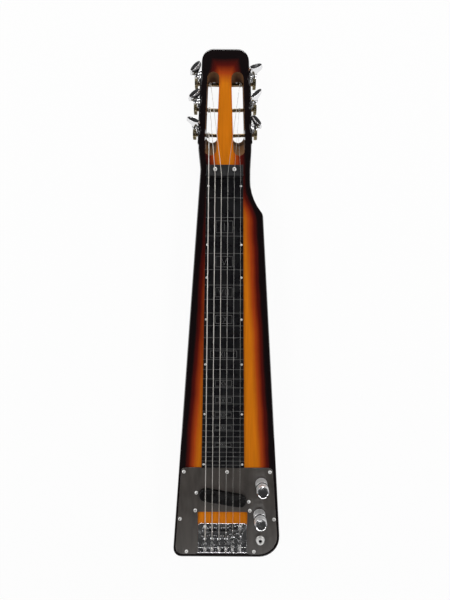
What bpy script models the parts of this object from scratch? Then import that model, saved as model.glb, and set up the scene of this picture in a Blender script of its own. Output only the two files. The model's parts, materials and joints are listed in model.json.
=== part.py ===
"""Six-string electric lap steel guitar with a slotted head, built in metres.

X runs across the strings to the treble side, Y along them from the bridge to the head, Z up out of
the playing face. The origin is on the flat back, under the bridge line and the strings' centre line.
"""

import math

import bmesh
import bpy
from mathutils import Matrix, Vector

MM = 0.001
SEAT = 0.3 * MM  # gap between pieces that rest on each other
CUT_OVER = 2 * MM  # how far a cutter runs past the surface that it opens
MERGE_DISTANCE = 0.001 * MM
SMOOTH_ANGLE = math.radians(35)

# Strings: scale length, spread and gauges from the first (treble) to the sixth (bass)
SCALE_LENGTH = 571.5 * MM
STRING_COUNT = 6
SPREAD_AT_NUT = 48.8 * MM
SPREAD_AT_BRIDGE = 56.0 * MM
STRING_DIAMETERS = (0.36 * MM, 0.43 * MM, 0.61 * MM, 0.81 * MM, 1.07 * MM, 1.35 * MM)
STRING_HEIGHT = 6.3 * MM  # from the fretboard's surface to the strings' undersides
WINDING_LOOPS = 2
WINDING_GAP = 0.45 * MM
POINTS_PER_LOOP = 12
# Centre line to the middle of each string's turns round its post, from the first to the sixth
WINDING_PLACES = (21.8 * MM, 22.8 * MM, 23.8 * MM, 24.0 * MM, 25.3 * MM, 27.0 * MM)
BALL_RADIUS = 1.9 * MM
BALL_LENGTH = 3 * MM

# Body: one plank, with a thinner head behind the nut
BODY_THICKNESS = 38 * MM
HEAD_THICKNESS = 20 * MM
EDGE_RADIUS = 3 * MM
TAIL_LENGTH = 44.9 * MM  # bridge line to the tail end
HEAD_LENGTH = 194.6 * MM  # nut line to the head's end
TAIL_BASS_WIDTH = 82.5 * MM  # centre line to the side at the tail end
TAIL_TREBLE_WIDTH = 96.8 * MM
TAIL_BASS_RADIUS = 14 * MM
TAIL_TREBLE_RADIUS = 34 * MM
WAIST_BASS_WIDTH = 38.3 * MM
WAIST_TREBLE_WIDTH = 40.2 * MM
WAIST_FROM_NUT = 13.5 * MM  # the narrowest place, on the head side of the nut
SHOULDER_WIDTH = 61.1 * MM  # treble side only
SHOULDER_FROM_NUT = 55.5 * MM
SHOULDER_RADIUS = 14 * MM
SHOULDER_SWEEP_FROM_NUT = 29.5 * MM
SHOULDER_SWEEP_RADIUS = 78 * MM
HEAD_HALF_WIDTH = 39.2 * MM  # at the middle tuner
HEAD_TAPER = math.radians(2.1)
HEAD_END_RADIUS = 18 * MM
HEAD_START_FROM_NUT = 44.5 * MM
HEAD_START_RADIUS = 40 * MM
HEAD_STEP_FROM_NUT = 2 * MM  # where the head's back runs out into the step
HEAD_STEP_LENGTH = 34 * MM
HEAD_STEP_POINTS = 7

# Tuners: three to a side, on the head's sides
TUNERS_PER_SIDE = 3
MIDDLE_TUNER_FROM_NUT = 109.5 * MM
TUNER_SPACING = 39 * MM
POST_RADIUS = 2.35 * MM
POST_STUB_RADIUS = 1.8 * MM
POST_CLEARANCE = 0.35 * MM
POST_SOCKET = 6 * MM  # how deep a post runs into the head's middle strip
SLOT_WIDTH = 18.5 * MM
SLOT_WALL = 10 * MM  # wood between a slot and the head's side
SLOT_END_MARGIN = 11.5 * MM  # slot's end past the axis of the top post
SLOT_START_MARGIN = 5.5 * MM  # slot's end at the back before the axis of the lowest post
SLOT_RAMP = 31 * MM  # how much longer the slot is at the face than at the back
SLOT_ARC_STEPS = 8
TUNER_PLATE_THICKNESS = 1.2 * MM
TUNER_PLATE_HEIGHT = 15 * MM
TUNER_PLATE_OVERHANG = 18.5 * MM  # past the axes of the outer posts
TUNER_PLATE_RADIUS = 4 * MM
GEAR_TEETH = 14
GEAR_MODULE = 0.85 * MM
GEAR_THICKNESS = 4.6 * MM
GEAR_TIP_WIDTH = 0.42 * MM
GEAR_ROOT_WIDTH = 1.72 * MM
WORM_PITCH_RADIUS = 2.95 * MM
WORM_ADDENDUM = 0.72 * MM
WORM_DEDENDUM = 1.05 * MM
WORM_CREST_WIDTH = 0.48 * MM
WORM_ROOT_WIDTH = 0.88 * MM
WORM_LENGTH = 9.4 * MM
KEY_STEPS = 12
WORM_OUT = 7.5 * MM  # head's side to the worm's axis
WORM_SHAFT_RADIUS = 1.6 * MM
LUG_THICKNESS = 1.5 * MM
LUG_RADIUS = 4 * MM
LUG_CLEARANCE = 0.35 * MM
LUG_INSET = 0.5 * MM  # lug's face inside the plate's edge
KEY_COLLAR_RADIUS = 3.1 * MM
KEY_COLLAR_LENGTH = 3 * MM
KEY_TAIL_RADIUS = 2.5 * MM
KEY_TAIL_LENGTH = 2 * MM
BUTTON_HEIGHT = 12 * MM
BUTTON_HALF_WIDTH = 11.2 * MM
BUTTON_HALF_THICKNESS = 3.4 * MM
# Turn of each button's long side from the X axis, from the first string's tuner to the sixth's
BUTTON_REST = (-48, 38, 15, 45, 38, -20)

# Fretboard and nut
FRETBOARD_THICKNESS = 2 * MM
FRETBOARD_HALF_WIDTH = 28.5 * MM  # at the nut
FRETBOARD_END_HALF_WIDTH = 34.5 * MM
FRETBOARD_CORNER_RADIUS = 1 * MM
NUT_THICKNESS = 2.5 * MM
NUT_FLANGE_LENGTH = 19.5 * MM
NUT_RIM = 1 * MM  # height of the nut above the bottoms of its notches
NUT_NOTCH_CLEARANCE = 0.3 * MM
NUT_FILLET = 1.2 * MM

# Control plate, from the tail to the fretboard's end, cut out round the bridge
PLATE_THICKNESS = 1.5 * MM
PLATE_LENGTH = 108.2 * MM  # bridge line to the fretboard's end
PLATE_MARGIN = 4.4 * MM
PLATE_TAIL_MARGIN = 7.8 * MM
PLATE_SHOULDER_MARGIN = 6.2 * MM  # at the top corner of the treble side
PLATE_CORNER_RADIUS = 7 * MM
PLATE_TAIL_BASS_RADIUS = 11 * MM
PLATE_TAIL_TREBLE_RADIUS = 30 * MM
NOTCH_LENGTH = 34.6 * MM
NOTCH_RADIUS = 2 * MM
NOTCH_MOUTH_RADIUS = 4 * MM

# Pickup: slanted, with its bass end nearer the head
PICKUP_FROM_BRIDGE = 59.8 * MM
PICKUP_SLANT = math.radians(-9.8)
PICKUP_LENGTH = 77 * MM
PICKUP_WIDTH = 20 * MM
PICKUP_PROUD = 4.2 * MM
PICKUP_COVER_DEPTH = 14 * MM
PICKUP_WALL = 1.5 * MM
PICKUP_EDGE = 1 * MM
PICKUP_FIT = 0.4 * MM
PICKUP_BASE_LENGTH = 93 * MM
PICKUP_BASE_THICKNESS = 2.4 * MM
PICKUP_CORE_HALF_WIDTH = 6.5 * MM
ROUT_MARGIN = 3 * MM
ROUT_DEPTH = 19 * MM
WIRE_CHANNEL_WIDTH = 8 * MM
WIRE_CHANNEL_DEPTH = 12 * MM

# Controls: two pots with knobs and the output jack, in one cavity on the treble side
VOLUME_AT = (62.3 * MM, 83.9 * MM)
TONE_AT = (59.8 * MM, 32.1 * MM)
JACK_AT = (61.8 * MM, -11.6 * MM)
CAVITY_MARGIN = 3 * MM
CAVITY_DEPTH = 30 * MM
CAVITY_RADIUS = 8 * MM
POT_RADIUS = 12 * MM
POT_HEIGHT = 9 * MM
POT_BUSH_RADIUS = 3.4 * MM
POT_BUSH_HEIGHT = 3 * MM  # above the plate
POT_NUT_RADIUS = 5.4 * MM
POT_NUT_HEIGHT = 2 * MM
SHAFT_RADIUS = 3 * MM
SHAFT_NECK_RADIUS = 1.9 * MM
SHAFT_CLEARANCE = 0.35 * MM
SHAFT_LENGTH = 12 * MM
KNOB_RADIUS = 9.5 * MM
KNOB_HEIGHT = 19.5 * MM
KNOB_LIFT = 1 * MM  # above the plate
KNOB_EDGE = 0.8 * MM
KNOB_STEPS = 20
KNOB_TOP_INSET = 1.4 * MM
KNOB_TOP_DISH = 0.4 * MM
KNOB_RECESS_RADIUS = 6.6 * MM
KNOB_RING_AT = 0.54  # height of the ring, as a share of the knob's height
RING_RADIUS = 1.1 * MM
RING_DEPTH = 1.2 * MM
JACK_HOLE_RADIUS = 3.25 * MM
JACK_BUSH_RADIUS = 4.7 * MM
JACK_BUSH_HEIGHT = 3.6 * MM
JACK_WASHER_RADIUS = 7.2 * MM
JACK_WASHER_HEIGHT = 0.7 * MM
JACK_NUT_RADIUS = 6.3 * MM
JACK_NUT_HEIGHT = 2.2 * MM
JACK_BARREL_RADIUS = 6.4 * MM
JACK_BARREL_LENGTH = 25 * MM
HOLE_CLEARANCE = 0.4 * MM

# Bridge: a bent plate, six saddles, their intonation screws and springs
BRIDGE_FRONT = 14.9 * MM  # bridge line to the plate's front edge
BRIDGE_BACK = 27 * MM  # bridge line to the outer face of the lip
BRIDGE_HALF_WIDTH = 40.2 * MM
BRIDGE_SIDE_GAP = 0.4 * MM
BRIDGE_THICKNESS = 1.5 * MM
BRIDGE_LIP_HEIGHT = 8 * MM
BRIDGE_BEND_RADIUS = 2 * MM
BRIDGE_CORNER = 3 * MM
# Each saddle's crest ahead of the bridge line, from the first string to the sixth
SADDLE_PLACES = (3.8 * MM, 2.4 * MM, -0.3 * MM, -0.5 * MM, 0.0 * MM, -0.8 * MM)
SADDLE_WIDTH = 10.5 * MM
SADDLE_FRONT = 4.2 * MM  # crest to the saddle's nose
SADDLE_LAND = 2.2 * MM  # crest to the back of the land that the string lies on
SADDLE_OPENING_END = 15 * MM  # crest to the back of the opening that the string drops through
SADDLE_LENGTH = 18 * MM  # crest to the saddle's back
SADDLE_LIFT = 1.4 * MM  # above the bridge plate
SADDLE_OPENING_WIDTH = 5 * MM
SADDLE_BACK_DROP = 1.4 * MM  # the back's top under the land
SADDLE_NOSE_DROP = 3.2 * MM
HEIGHT_SCREW_RADIUS = 1.3 * MM
HEIGHT_SCREW_OUT = 3.8 * MM
HEIGHT_SCREW_AT = 0.4 * MM  # ahead of the crest
HEIGHT_SCREW_PROUD = 0.6 * MM
SADDLE_BACK_TRAVEL = 2 * MM
INTONATION_RADIUS = 1.45 * MM
INTONATION_HEIGHT = 3.4 * MM  # screw's axis above the bridge plate
INTONATION_HEAD_RADIUS = 2.7 * MM
INTONATION_HEAD_LENGTH = 2.2 * MM
INTONATION_TIP = 2 * MM  # past the saddle's back wall
INTONATION_CLEARANCE = 0.35 * MM
SPRING_WIRE_RADIUS = 0.35 * MM
SPRING_RADIUS = 2.25 * MM
SPRING_CURLS = 4
POINTS_PER_CURL = 8
STRING_HOLE_FROM_BRIDGE = 7 * MM
STRING_HOLE_RADIUS = 1.5 * MM
FERRULE_RADIUS = 4 * MM
FERRULE_DEPTH = 9.5 * MM

# Levels and lines worked out from the sizes above
FACE = BODY_THICKNESS + SEAT  # underside of everything screwed to the face
FRETBOARD_TOP = FACE + FRETBOARD_THICKNESS
PLATE_TOP = FACE + PLATE_THICKNESS
BRIDGE_TOP = FACE + BRIDGE_THICKNESS
STRING_BED = FRETBOARD_TOP + STRING_HEIGHT - SEAT  # bottoms of the notches and tops of the saddles
HEAD_BACK = BODY_THICKNESS - HEAD_THICKNESS
HEAD_END = SCALE_LENGTH + HEAD_LENGTH
TUNER_LINE = SCALE_LENGTH + MIDDLE_TUNER_FROM_NUT
TUNER_LEVEL = BODY_THICKNESS - HEAD_THICKNESS / 2
GEAR_PITCH_RADIUS = GEAR_MODULE * GEAR_TEETH / 2
GEAR_TIP_RADIUS = GEAR_PITCH_RADIUS + GEAR_MODULE
WORM_PITCH = math.pi * GEAR_MODULE
WORM_DISTANCE = GEAR_PITCH_RADIUS + WORM_PITCH_RADIUS + SEAT / 5
GEAR_ROOT_RADIUS = WORM_DISTANCE - WORM_PITCH_RADIUS - WORM_ADDENDUM - SEAT
NOTCH_HALF_WIDTH = BRIDGE_HALF_WIDTH + BRIDGE_SIDE_GAP
INTONATION_LEVEL = BRIDGE_TOP + INTONATION_HEIGHT
BASS, TREBLE = -1, 1


def material(name, color, roughness, metallic):
    """One finish: a Principled BSDF with its colour, roughness and metallic value."""
    finish = bpy.data.materials.new(name)
    finish.use_nodes = True
    shader = finish.node_tree.nodes["Principled BSDF"]
    shader.inputs["Base Color"].default_value = (*color, 1)
    shader.inputs["Roughness"].default_value = roughness
    shader.inputs["Metallic"].default_value = metallic
    finish.diffuse_color = (*color, 1)
    return finish


def add_object(name, bm, finish=None, parent=None, location=(0, 0, 0)):
    """An object from a bmesh, shaded smooth with its sharp edges kept."""
    mesh = bpy.data.meshes.new(name)
    bm.to_mesh(mesh)
    bm.free()
    mesh.shade_smooth()
    mesh.set_sharp_from_angle(angle=SMOOTH_ANGLE)
    if finish:
        mesh.materials.append(finish)
    piece = bpy.data.objects.new(name, mesh)
    bpy.context.collection.objects.link(piece)
    piece.parent = parent
    piece.location = location
    return piece


def add_empty(name, location, parent=None, turn=0.0):
    """A frame to hang pieces on, turned about Z."""
    frame = bpy.data.objects.new(name, None)
    bpy.context.collection.objects.link(frame)
    frame.parent = parent
    frame.location = location
    frame.rotation_euler.z = turn
    return frame


def combine(piece, helper, operation):
    """Adds or cuts away the helper's shape, and hides the helper."""
    boolean = piece.modifiers.new(helper.name, "BOOLEAN")
    boolean.operation = operation
    boolean.object = helper
    helper.hide_render = True
    helper.display_type = "WIRE"


def wrapped(angle):
    """The angle brought between minus and plus half a turn."""
    return (angle + math.pi) % math.tau - math.pi


def rounded_outline(corners):
    """Closed outline through corners of (x, y, radius, steps), each rounded by an arc."""
    outline = []
    for index, (x, y, radius, steps) in enumerate(corners):
        corner = Vector((x, y))
        back = (Vector(corners[index - 1][:2]) - corner).normalized()
        ahead = (Vector(corners[(index + 1) % len(corners)][:2]) - corner).normalized()
        half_angle = back.angle(ahead) / 2
        centre = corner + (back + ahead).normalized() * radius / math.sin(half_angle)
        reach = radius / math.tan(half_angle)
        start = corner + back * reach - centre
        end = corner + ahead * reach - centre
        first = math.atan2(start.y, start.x)
        sweep = wrapped(math.atan2(end.y, end.x) - first)
        for step in range(steps + 1):
            angle = first + sweep * step / steps
            outline.append(centre + radius * Vector((math.cos(angle), math.sin(angle))))
    return outline


def box_outline(x0, x1, y0, y1, radius, steps):
    """Rectangle with rounded corners, counter-clockwise."""
    return rounded_outline([(x, y, radius, steps) for x, y in ((x0, y0), (x1, y0), (x1, y1), (x0, y1))])


def stadium(length, width, steps):
    """Slot shape along X about the origin, with half-round ends."""
    outline = []
    for side in (1, -1):
        for step in range(steps + 1):
            angle = math.pi * step / steps - side * math.pi / 2
            x = side * (length - width) / 2 + width / 2 * math.cos(angle)
            outline.append(Vector((x, width / 2 * math.sin(angle))))
    return outline


def circle(radius, steps, x=0.0, y=0.0):
    """Points round a circle, with flats square to X and Y."""
    angles = [math.tau * (step + 0.5) / steps for step in range(steps)]
    return [Vector((x + radius * math.cos(angle), y + radius * math.sin(angle))) for angle in angles]


def add_prism(bm, outline, bottom, top):
    """Adds an outline in XY to the bmesh, extruded from bottom to top."""
    face = bm.faces.new([bm.verts.new((point.x, point.y, bottom)) for point in outline])
    made = bmesh.ops.extrude_face_region(bm, geom=[face])["geom"]
    raised = [item for item in made if isinstance(item, bmesh.types.BMVert)]
    bmesh.ops.translate(bm, verts=raised, vec=(0, 0, top - bottom))
    bmesh.ops.recalc_face_normals(bm, faces=bm.faces)


def prism(outline, bottom, top):
    bm = bmesh.new()
    add_prism(bm, outline, bottom, top)
    return bm


def bevel_rims(bm, levels, width, segments):
    """Rounds the rims that lie at the given heights."""
    rims = [
        edge
        for edge in bm.edges
        if any(all(abs(end.co.z - level) < MERGE_DISTANCE for end in edge.verts) for level in levels)
    ]
    bmesh.ops.bevel(
        bm, geom=rims, offset=width, offset_type="OFFSET", segments=segments, profile=0.5, affect="EDGES"
    )


def turned(profile, steps, ring=False):
    """Solid of revolution about Z. The (radius, height) profile ends on the axis, or closes as a ring."""
    bm = bmesh.new()
    points = [bm.verts.new((radius, 0, height)) for radius, height in profile]
    lines = [bm.edges.new(pair) for pair in zip(points, points[1:])]
    if ring:
        lines.append(bm.edges.new((points[-1], points[0])))
    bmesh.ops.spin(
        bm, geom=points + lines, cent=(0, 0, 0), axis=(0, 0, 1), angle=math.tau, steps=steps, use_merge=True
    )
    bmesh.ops.remove_doubles(bm, verts=bm.verts, dist=MERGE_DISTANCE)
    bmesh.ops.recalc_face_normals(bm, faces=bm.faces)
    return bm


def loft(sections):
    """Closed skin through rings of as many points each, with a face on the first and the last."""
    bm = bmesh.new()
    rings = [[bm.verts.new(point) for point in section] for section in sections]
    loops = [[bm.edges.new((ring[i - 1], ring[i])) for i in range(len(ring))] for ring in rings]
    for lower, upper in zip(loops, loops[1:]):
        bmesh.ops.bridge_loops(bm, edges=lower + upper)
    bm.faces.new(rings[0])
    bm.faces.new(rings[-1])
    bmesh.ops.recalc_face_normals(bm, faces=bm.faces)
    return bm


def lay_along_x(bm):
    """Turns a solid built about Z so that its axis runs along X."""
    cycle = Matrix(((0, 0, 1, 0), (1, 0, 0, 0), (0, 1, 0, 0), (0, 0, 0, 1)))
    bmesh.ops.transform(bm, matrix=cycle, verts=bm.verts)
    return bm


def lay_along_y(bm):
    """Turns a solid built about Z so that its axis runs along Y."""
    bmesh.ops.transform(bm, matrix=Matrix.Rotation(-math.pi / 2, 4, "X"), verts=bm.verts)
    return bm


def mesh_bodies(shapes):
    """Puts several closed shapes that stay clear of each other into one bmesh."""
    whole = bmesh.new()
    for shape in shapes:
        part = bpy.data.meshes.new("part")
        shape.to_mesh(part)
        shape.free()
        whole.from_mesh(part)
        bpy.data.meshes.remove(part)
    return whole


def moved(bm, offset):
    bmesh.ops.translate(bm, verts=bm.verts, vec=offset)
    return bm


def add_tube(name, points, radius, finish, thick_points=(), thick_radius=0.0):
    """A wire through the points, with filled ends. The listed points are thicker."""
    curve = bpy.data.curves.new(name, "CURVE")
    curve.dimensions = "3D"
    curve.bevel_depth = radius
    curve.bevel_resolution = 1
    curve.use_fill_caps = True
    curve.resolution_u = 1
    curve.render_resolution_u = 0
    spline = curve.splines.new("POLY")
    spline.points.add(len(points) - 1)
    for index, point in enumerate(points):
        spline.points[index].co = (*point, 1)
        spline.points[index].radius = thick_radius / radius if index in thick_points else 1
    curve.materials.append(finish)
    wire = bpy.data.objects.new(name, curve)
    bpy.context.collection.objects.link(wire)
    return wire


def print_least_gap(name, points, radius, neighbours):
    """Prints the least gap of a wound wire to itself, past its nearest points along the wire."""
    gap = min(
        (points[i] - points[j]).length - 2 * radius
        for i in range(len(points))
        for j in range(i + neighbours, len(points))
    )
    print(f"{name}: least gap between turns {gap / MM:.2f} mm")


def bass_side(y):
    """X of the body's bass side, a straight line from the tail to the waist."""
    along = (y + TAIL_LENGTH) / (SCALE_LENGTH + WAIST_FROM_NUT + TAIL_LENGTH)
    return -TAIL_BASS_WIDTH + along * (TAIL_BASS_WIDTH - WAIST_BASS_WIDTH)


def treble_side(y):
    """X of the body's treble side, a straight line from the tail to the shoulder."""
    along = (y + TAIL_LENGTH) / (SCALE_LENGTH - SHOULDER_FROM_NUT + TAIL_LENGTH)
    return TAIL_TREBLE_WIDTH - along * (TAIL_TREBLE_WIDTH - SHOULDER_WIDTH)


def head_side(y):
    """Half width of the head, which narrows to its end."""
    return HEAD_HALF_WIDTH - (y - TUNER_LINE) * math.tan(HEAD_TAPER)


def string_share(number):
    """Place of a string across the spread, from 0.5 for the first to -0.5 for the last."""
    return 0.5 - (number - 1) / (STRING_COUNT - 1)


def string_x(number, y):
    """X of a string between the bridge and the nut."""
    along = y / SCALE_LENGTH
    return string_share(number) * (SPREAD_AT_BRIDGE + along * (SPREAD_AT_NUT - SPREAD_AT_BRIDGE))


def tuner_side(number):
    return TREBLE if number <= TUNERS_PER_SIDE else BASS


def tuner_row(number):
    """Y of a tuner's post in its side's frame: the outer strings have the posts nearest the nut."""
    place = number if number <= TUNERS_PER_SIDE else STRING_COUNT + 1 - number
    return (place - (TUNERS_PER_SIDE + 1) / 2) * TUNER_SPACING


def tuner_frame(side):
    """Turn and place of a row of tuners: its X plane is the head's side, square to the posts."""
    turn = side * HEAD_TAPER
    return turn, Vector((side * HEAD_HALF_WIDTH, TUNER_LINE, TUNER_LEVEL))


def remove_start_objects():
    for piece in list(bpy.data.objects):
        bpy.data.objects.remove(piece)


def make_finishes():
    return {
        "sunburst": material("sunburst", (0.45, 0.14, 0.02), 0.2, 0.0),
        "fretboard_black": material("fretboard_black", (0.012, 0.012, 0.014), 0.3, 0.0),
        "nut_black": material("nut_black", (0.02, 0.02, 0.02), 0.5, 0.0),
        "plate_grey": material("plate_grey", (0.05, 0.045, 0.04), 0.15, 0.0),
        "pickup_black": material("pickup_black", (0.01, 0.01, 0.01), 0.3, 0.0),
        "chrome": material("chrome", (0.75, 0.75, 0.76), 0.12, 1.0),
        "steel": material("steel", (0.6, 0.6, 0.6), 0.3, 1.0),
        "brass": material("brass", (0.3, 0.2, 0.08), 0.35, 1.0),
        "string_steel": material("string_steel", (0.55, 0.54, 0.52), 0.3, 1.0),
        "rubber": material("rubber", (0.01, 0.01, 0.01), 0.6, 0.0),
    }


def body_outline():
    """The plank's outline, counter-clockwise from the tail's bass corner."""
    nut = SCALE_LENGTH
    waist = nut + WAIST_FROM_NUT
    head_start = nut + HEAD_START_FROM_NUT
    return rounded_outline(
        [
            (-TAIL_BASS_WIDTH, -TAIL_LENGTH, TAIL_BASS_RADIUS, 5),
            (TAIL_TREBLE_WIDTH, -TAIL_LENGTH, TAIL_TREBLE_RADIUS, 8),
            (SHOULDER_WIDTH, nut - SHOULDER_FROM_NUT, SHOULDER_RADIUS, 4),
            (WAIST_TREBLE_WIDTH, nut - SHOULDER_SWEEP_FROM_NUT, SHOULDER_SWEEP_RADIUS, 5),
            (WAIST_TREBLE_WIDTH, waist, HEAD_START_RADIUS, 2),
            (head_side(head_start), head_start, HEAD_START_RADIUS, 2),
            (head_side(HEAD_END), HEAD_END, HEAD_END_RADIUS, 6),
            (-head_side(HEAD_END), HEAD_END, HEAD_END_RADIUS, 6),
            (-head_side(head_start), head_start, HEAD_START_RADIUS, 3),
            (-WAIST_BASS_WIDTH, waist, HEAD_START_RADIUS, 3),
        ]
    )


def head_relief():
    """The wood taken off behind the head, with a rounded step up from the back."""
    start = SCALE_LENGTH + HEAD_STEP_FROM_NUT - HEAD_STEP_LENGTH / 2
    step = []
    for index in range(HEAD_STEP_POINTS + 1):
        share = index / HEAD_STEP_POINTS
        rise = (1 - math.cos(math.pi * share)) / 2
        step.append(Vector((start + HEAD_STEP_LENGTH * share, HEAD_BACK * rise)))
    far = HEAD_END + CUT_OVER
    profile = [Vector((start - CUT_OVER, 0)), Vector((start - CUT_OVER, -CUT_OVER)), Vector((far, -CUT_OVER))]
    half = max(head_side(SCALE_LENGTH), SHOULDER_WIDTH) + CUT_OVER
    return lay_along_x(prism(profile + [Vector((far, HEAD_BACK))] + step[:0:-1], -half, half))


def slot_shape(side):
    """One head slot, open front and back, with a ramp for the strings at its nut end."""
    outer = -side * SLOT_WALL
    inner = outer - side * SLOT_WIDTH
    middle = (outer + inner) / 2
    radius = SLOT_WIDTH / 2
    half_rows = (TUNERS_PER_SIDE - 1) / 2 * TUNER_SPACING
    far = half_rows + SLOT_END_MARGIN - radius
    near_back = -half_rows - SLOT_START_MARGIN + radius
    slope = SLOT_RAMP / HEAD_THICKNESS
    sections = []
    for over in (-CUT_OVER, HEAD_THICKNESS + CUT_OVER):
        near = near_back - slope * over
        ring = []
        for start, centre in ((0.0, far), (math.pi, near)):
            for step in range(SLOT_ARC_STEPS + 1):
                angle = start + math.pi * step / SLOT_ARC_STEPS
                x = middle + radius * math.cos(angle)
                ring.append((x, centre + radius * math.sin(angle), over - HEAD_THICKNESS / 2))
        sections.append(ring)
    return loft(sections)


def post_bore(row, side):
    """Hole for one post: through the side wall and the slot, and into the middle strip."""
    depth = SLOT_WALL + SLOT_WIDTH + POST_SOCKET + 2 * SEAT
    ends = sorted((side * CUT_OVER, -side * depth))
    hole = lay_along_x(prism(circle(POST_RADIUS + POST_CLEARANCE, 12), *ends))
    return moved(hole, (0, row, 0))


def string_holes():
    """Six holes for the strings through the body, each widened at the back for a ferrule."""
    holes = []
    for number in range(1, STRING_COUNT + 1):
        top = BODY_THICKNESS + CUT_OVER
        profile = [(0, -CUT_OVER), (FERRULE_RADIUS, -CUT_OVER), (FERRULE_RADIUS, FERRULE_DEPTH)]
        profile += [(STRING_HOLE_RADIUS, FERRULE_DEPTH), (STRING_HOLE_RADIUS, top), (0, top)]
        y = -STRING_HOLE_FROM_BRIDGE
        holes.append(moved(turned(profile, 10), (string_x(number, 0), y, 0)))
    return mesh_bodies(holes)


def cavity_sides():
    """Edges of the control cavity, which clears the pots and the jack: x0, x1, y0, y1."""
    reach = POT_RADIUS + CAVITY_MARGIN
    places = (VOLUME_AT, TONE_AT, JACK_AT)
    x0 = min(x for x, _ in places) - reach
    x1 = max(x for x, _ in places) + reach
    return x0, x1, JACK_AT[1] - JACK_BARREL_RADIUS - CAVITY_MARGIN, VOLUME_AT[1] + reach


def pickup_frame():
    return Matrix.Translation((0, PICKUP_FROM_BRIDGE, 0)) @ Matrix.Rotation(PICKUP_SLANT, 4, "Z")


def in_pickup_frame(bm):
    bmesh.ops.transform(bm, matrix=pickup_frame(), verts=bm.verts)
    return bm


def make_body(finish, frames):
    bm = prism(body_outline(), 0, BODY_THICKNESS)
    bevel_rims(bm, (0, BODY_THICKNESS), EDGE_RADIUS, 2)
    body = add_object("body", bm, finish)
    combine(body, add_object("head_relief", head_relief()), "DIFFERENCE")
    for side, label in ((BASS, "bass"), (TREBLE, "treble")):
        slot = add_object(f"{label}_slot_cut", slot_shape(side), parent=frames[side])
        combine(body, slot, "DIFFERENCE")
        rows = sorted({tuner_row(number) for number in range(1, STRING_COUNT + 1)})
        bores = mesh_bodies([post_bore(row, side) for row in rows])
        combine(body, add_object(f"{label}_post_bores", bores, parent=frames[side]), "DIFFERENCE")
    top = BODY_THICKNESS + CUT_OVER
    x0, x1, y0, y1 = cavity_sides()
    cavity = prism(box_outline(x0, x1, y0, y1, CAVITY_RADIUS, 3), BODY_THICKNESS - CAVITY_DEPTH, top)
    combine(body, add_object("cavity_cut", cavity), "DIFFERENCE")
    half_length = PICKUP_BASE_LENGTH / 2 + ROUT_MARGIN
    half_width = PICKUP_WIDTH / 2 + ROUT_MARGIN
    rout = prism(
        box_outline(-half_length, half_length, -half_width, half_width, half_width / 2, 3),
        BODY_THICKNESS - ROUT_DEPTH,
        top,
    )
    combine(body, add_object("rout_cut", in_pickup_frame(rout)), "DIFFERENCE")
    channel = prism(
        box_outline(0, x0 + CUT_OVER, -WIRE_CHANNEL_WIDTH / 2, WIRE_CHANNEL_WIDTH / 2, 1 * MM, 1),
        BODY_THICKNESS - WIRE_CHANNEL_DEPTH,
        top,
    )
    moved(channel, (0, PICKUP_FROM_BRIDGE, 0))
    combine(body, add_object("wire_channel_cut", channel), "DIFFERENCE")
    combine(body, add_object("string_holes_cut", string_holes()), "DIFFERENCE")


def make_fretboard(finish):
    """Thin board that the playing positions are marked on, wider at the bridge end."""
    near = PLATE_LENGTH + 2 * SEAT
    far = SCALE_LENGTH - NUT_THICKNESS / 2 - SEAT
    radius = FRETBOARD_CORNER_RADIUS
    outline = rounded_outline(
        [
            (-FRETBOARD_END_HALF_WIDTH, near, radius, 2),
            (FRETBOARD_END_HALF_WIDTH, near, radius, 2),
            (FRETBOARD_HALF_WIDTH, far, radius, 2),
            (-FRETBOARD_HALF_WIDTH, far, radius, 2),
        ]
    )
    bm = prism(outline, FACE, FRETBOARD_TOP)
    bevel_rims(bm, (FRETBOARD_TOP,), FRETBOARD_THICKNESS / 5, 1)
    add_object("fretboard", bm, finish)


def make_nut(finish):
    """Angle nut: an upright notched fin on a flange that is screwed down behind it."""
    front = SCALE_LENGTH - NUT_THICKNESS / 2
    back = front + NUT_FLANGE_LENGTH
    inner = front + NUT_THICKNESS
    flange = FACE + NUT_THICKNESS
    top = STRING_BED + NUT_RIM
    profile = [Vector((front, FACE)), Vector((back, FACE)), Vector((back, flange))]
    profile += [Vector((inner + NUT_FILLET, flange)), Vector((inner, flange + NUT_FILLET))]
    profile += [Vector((inner, top)), Vector((front, top))]
    bm = lay_along_x(prism(profile, -FRETBOARD_HALF_WIDTH, FRETBOARD_HALF_WIDTH))
    nut = add_object("nut", bm, finish)
    notches = []
    for number, diameter in enumerate(STRING_DIAMETERS, start=1):
        half = diameter / 2 + NUT_NOTCH_CLEARANCE
        x = string_x(number, SCALE_LENGTH)
        outline = [Vector((x - half, STRING_BED)), Vector((x + half, STRING_BED))]
        outline += [Vector((x + half, top + CUT_OVER)), Vector((x - half, top + CUT_OVER))]
        notch = prism(outline, -inner - CUT_OVER, CUT_OVER - front)
        bmesh.ops.transform(notch, matrix=Matrix.Rotation(math.pi / 2, 4, "X"), verts=notch.verts)
        notches.append(notch)
    combine(nut, add_object("nut_notches_cut", mesh_bodies(notches)), "DIFFERENCE")


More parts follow.
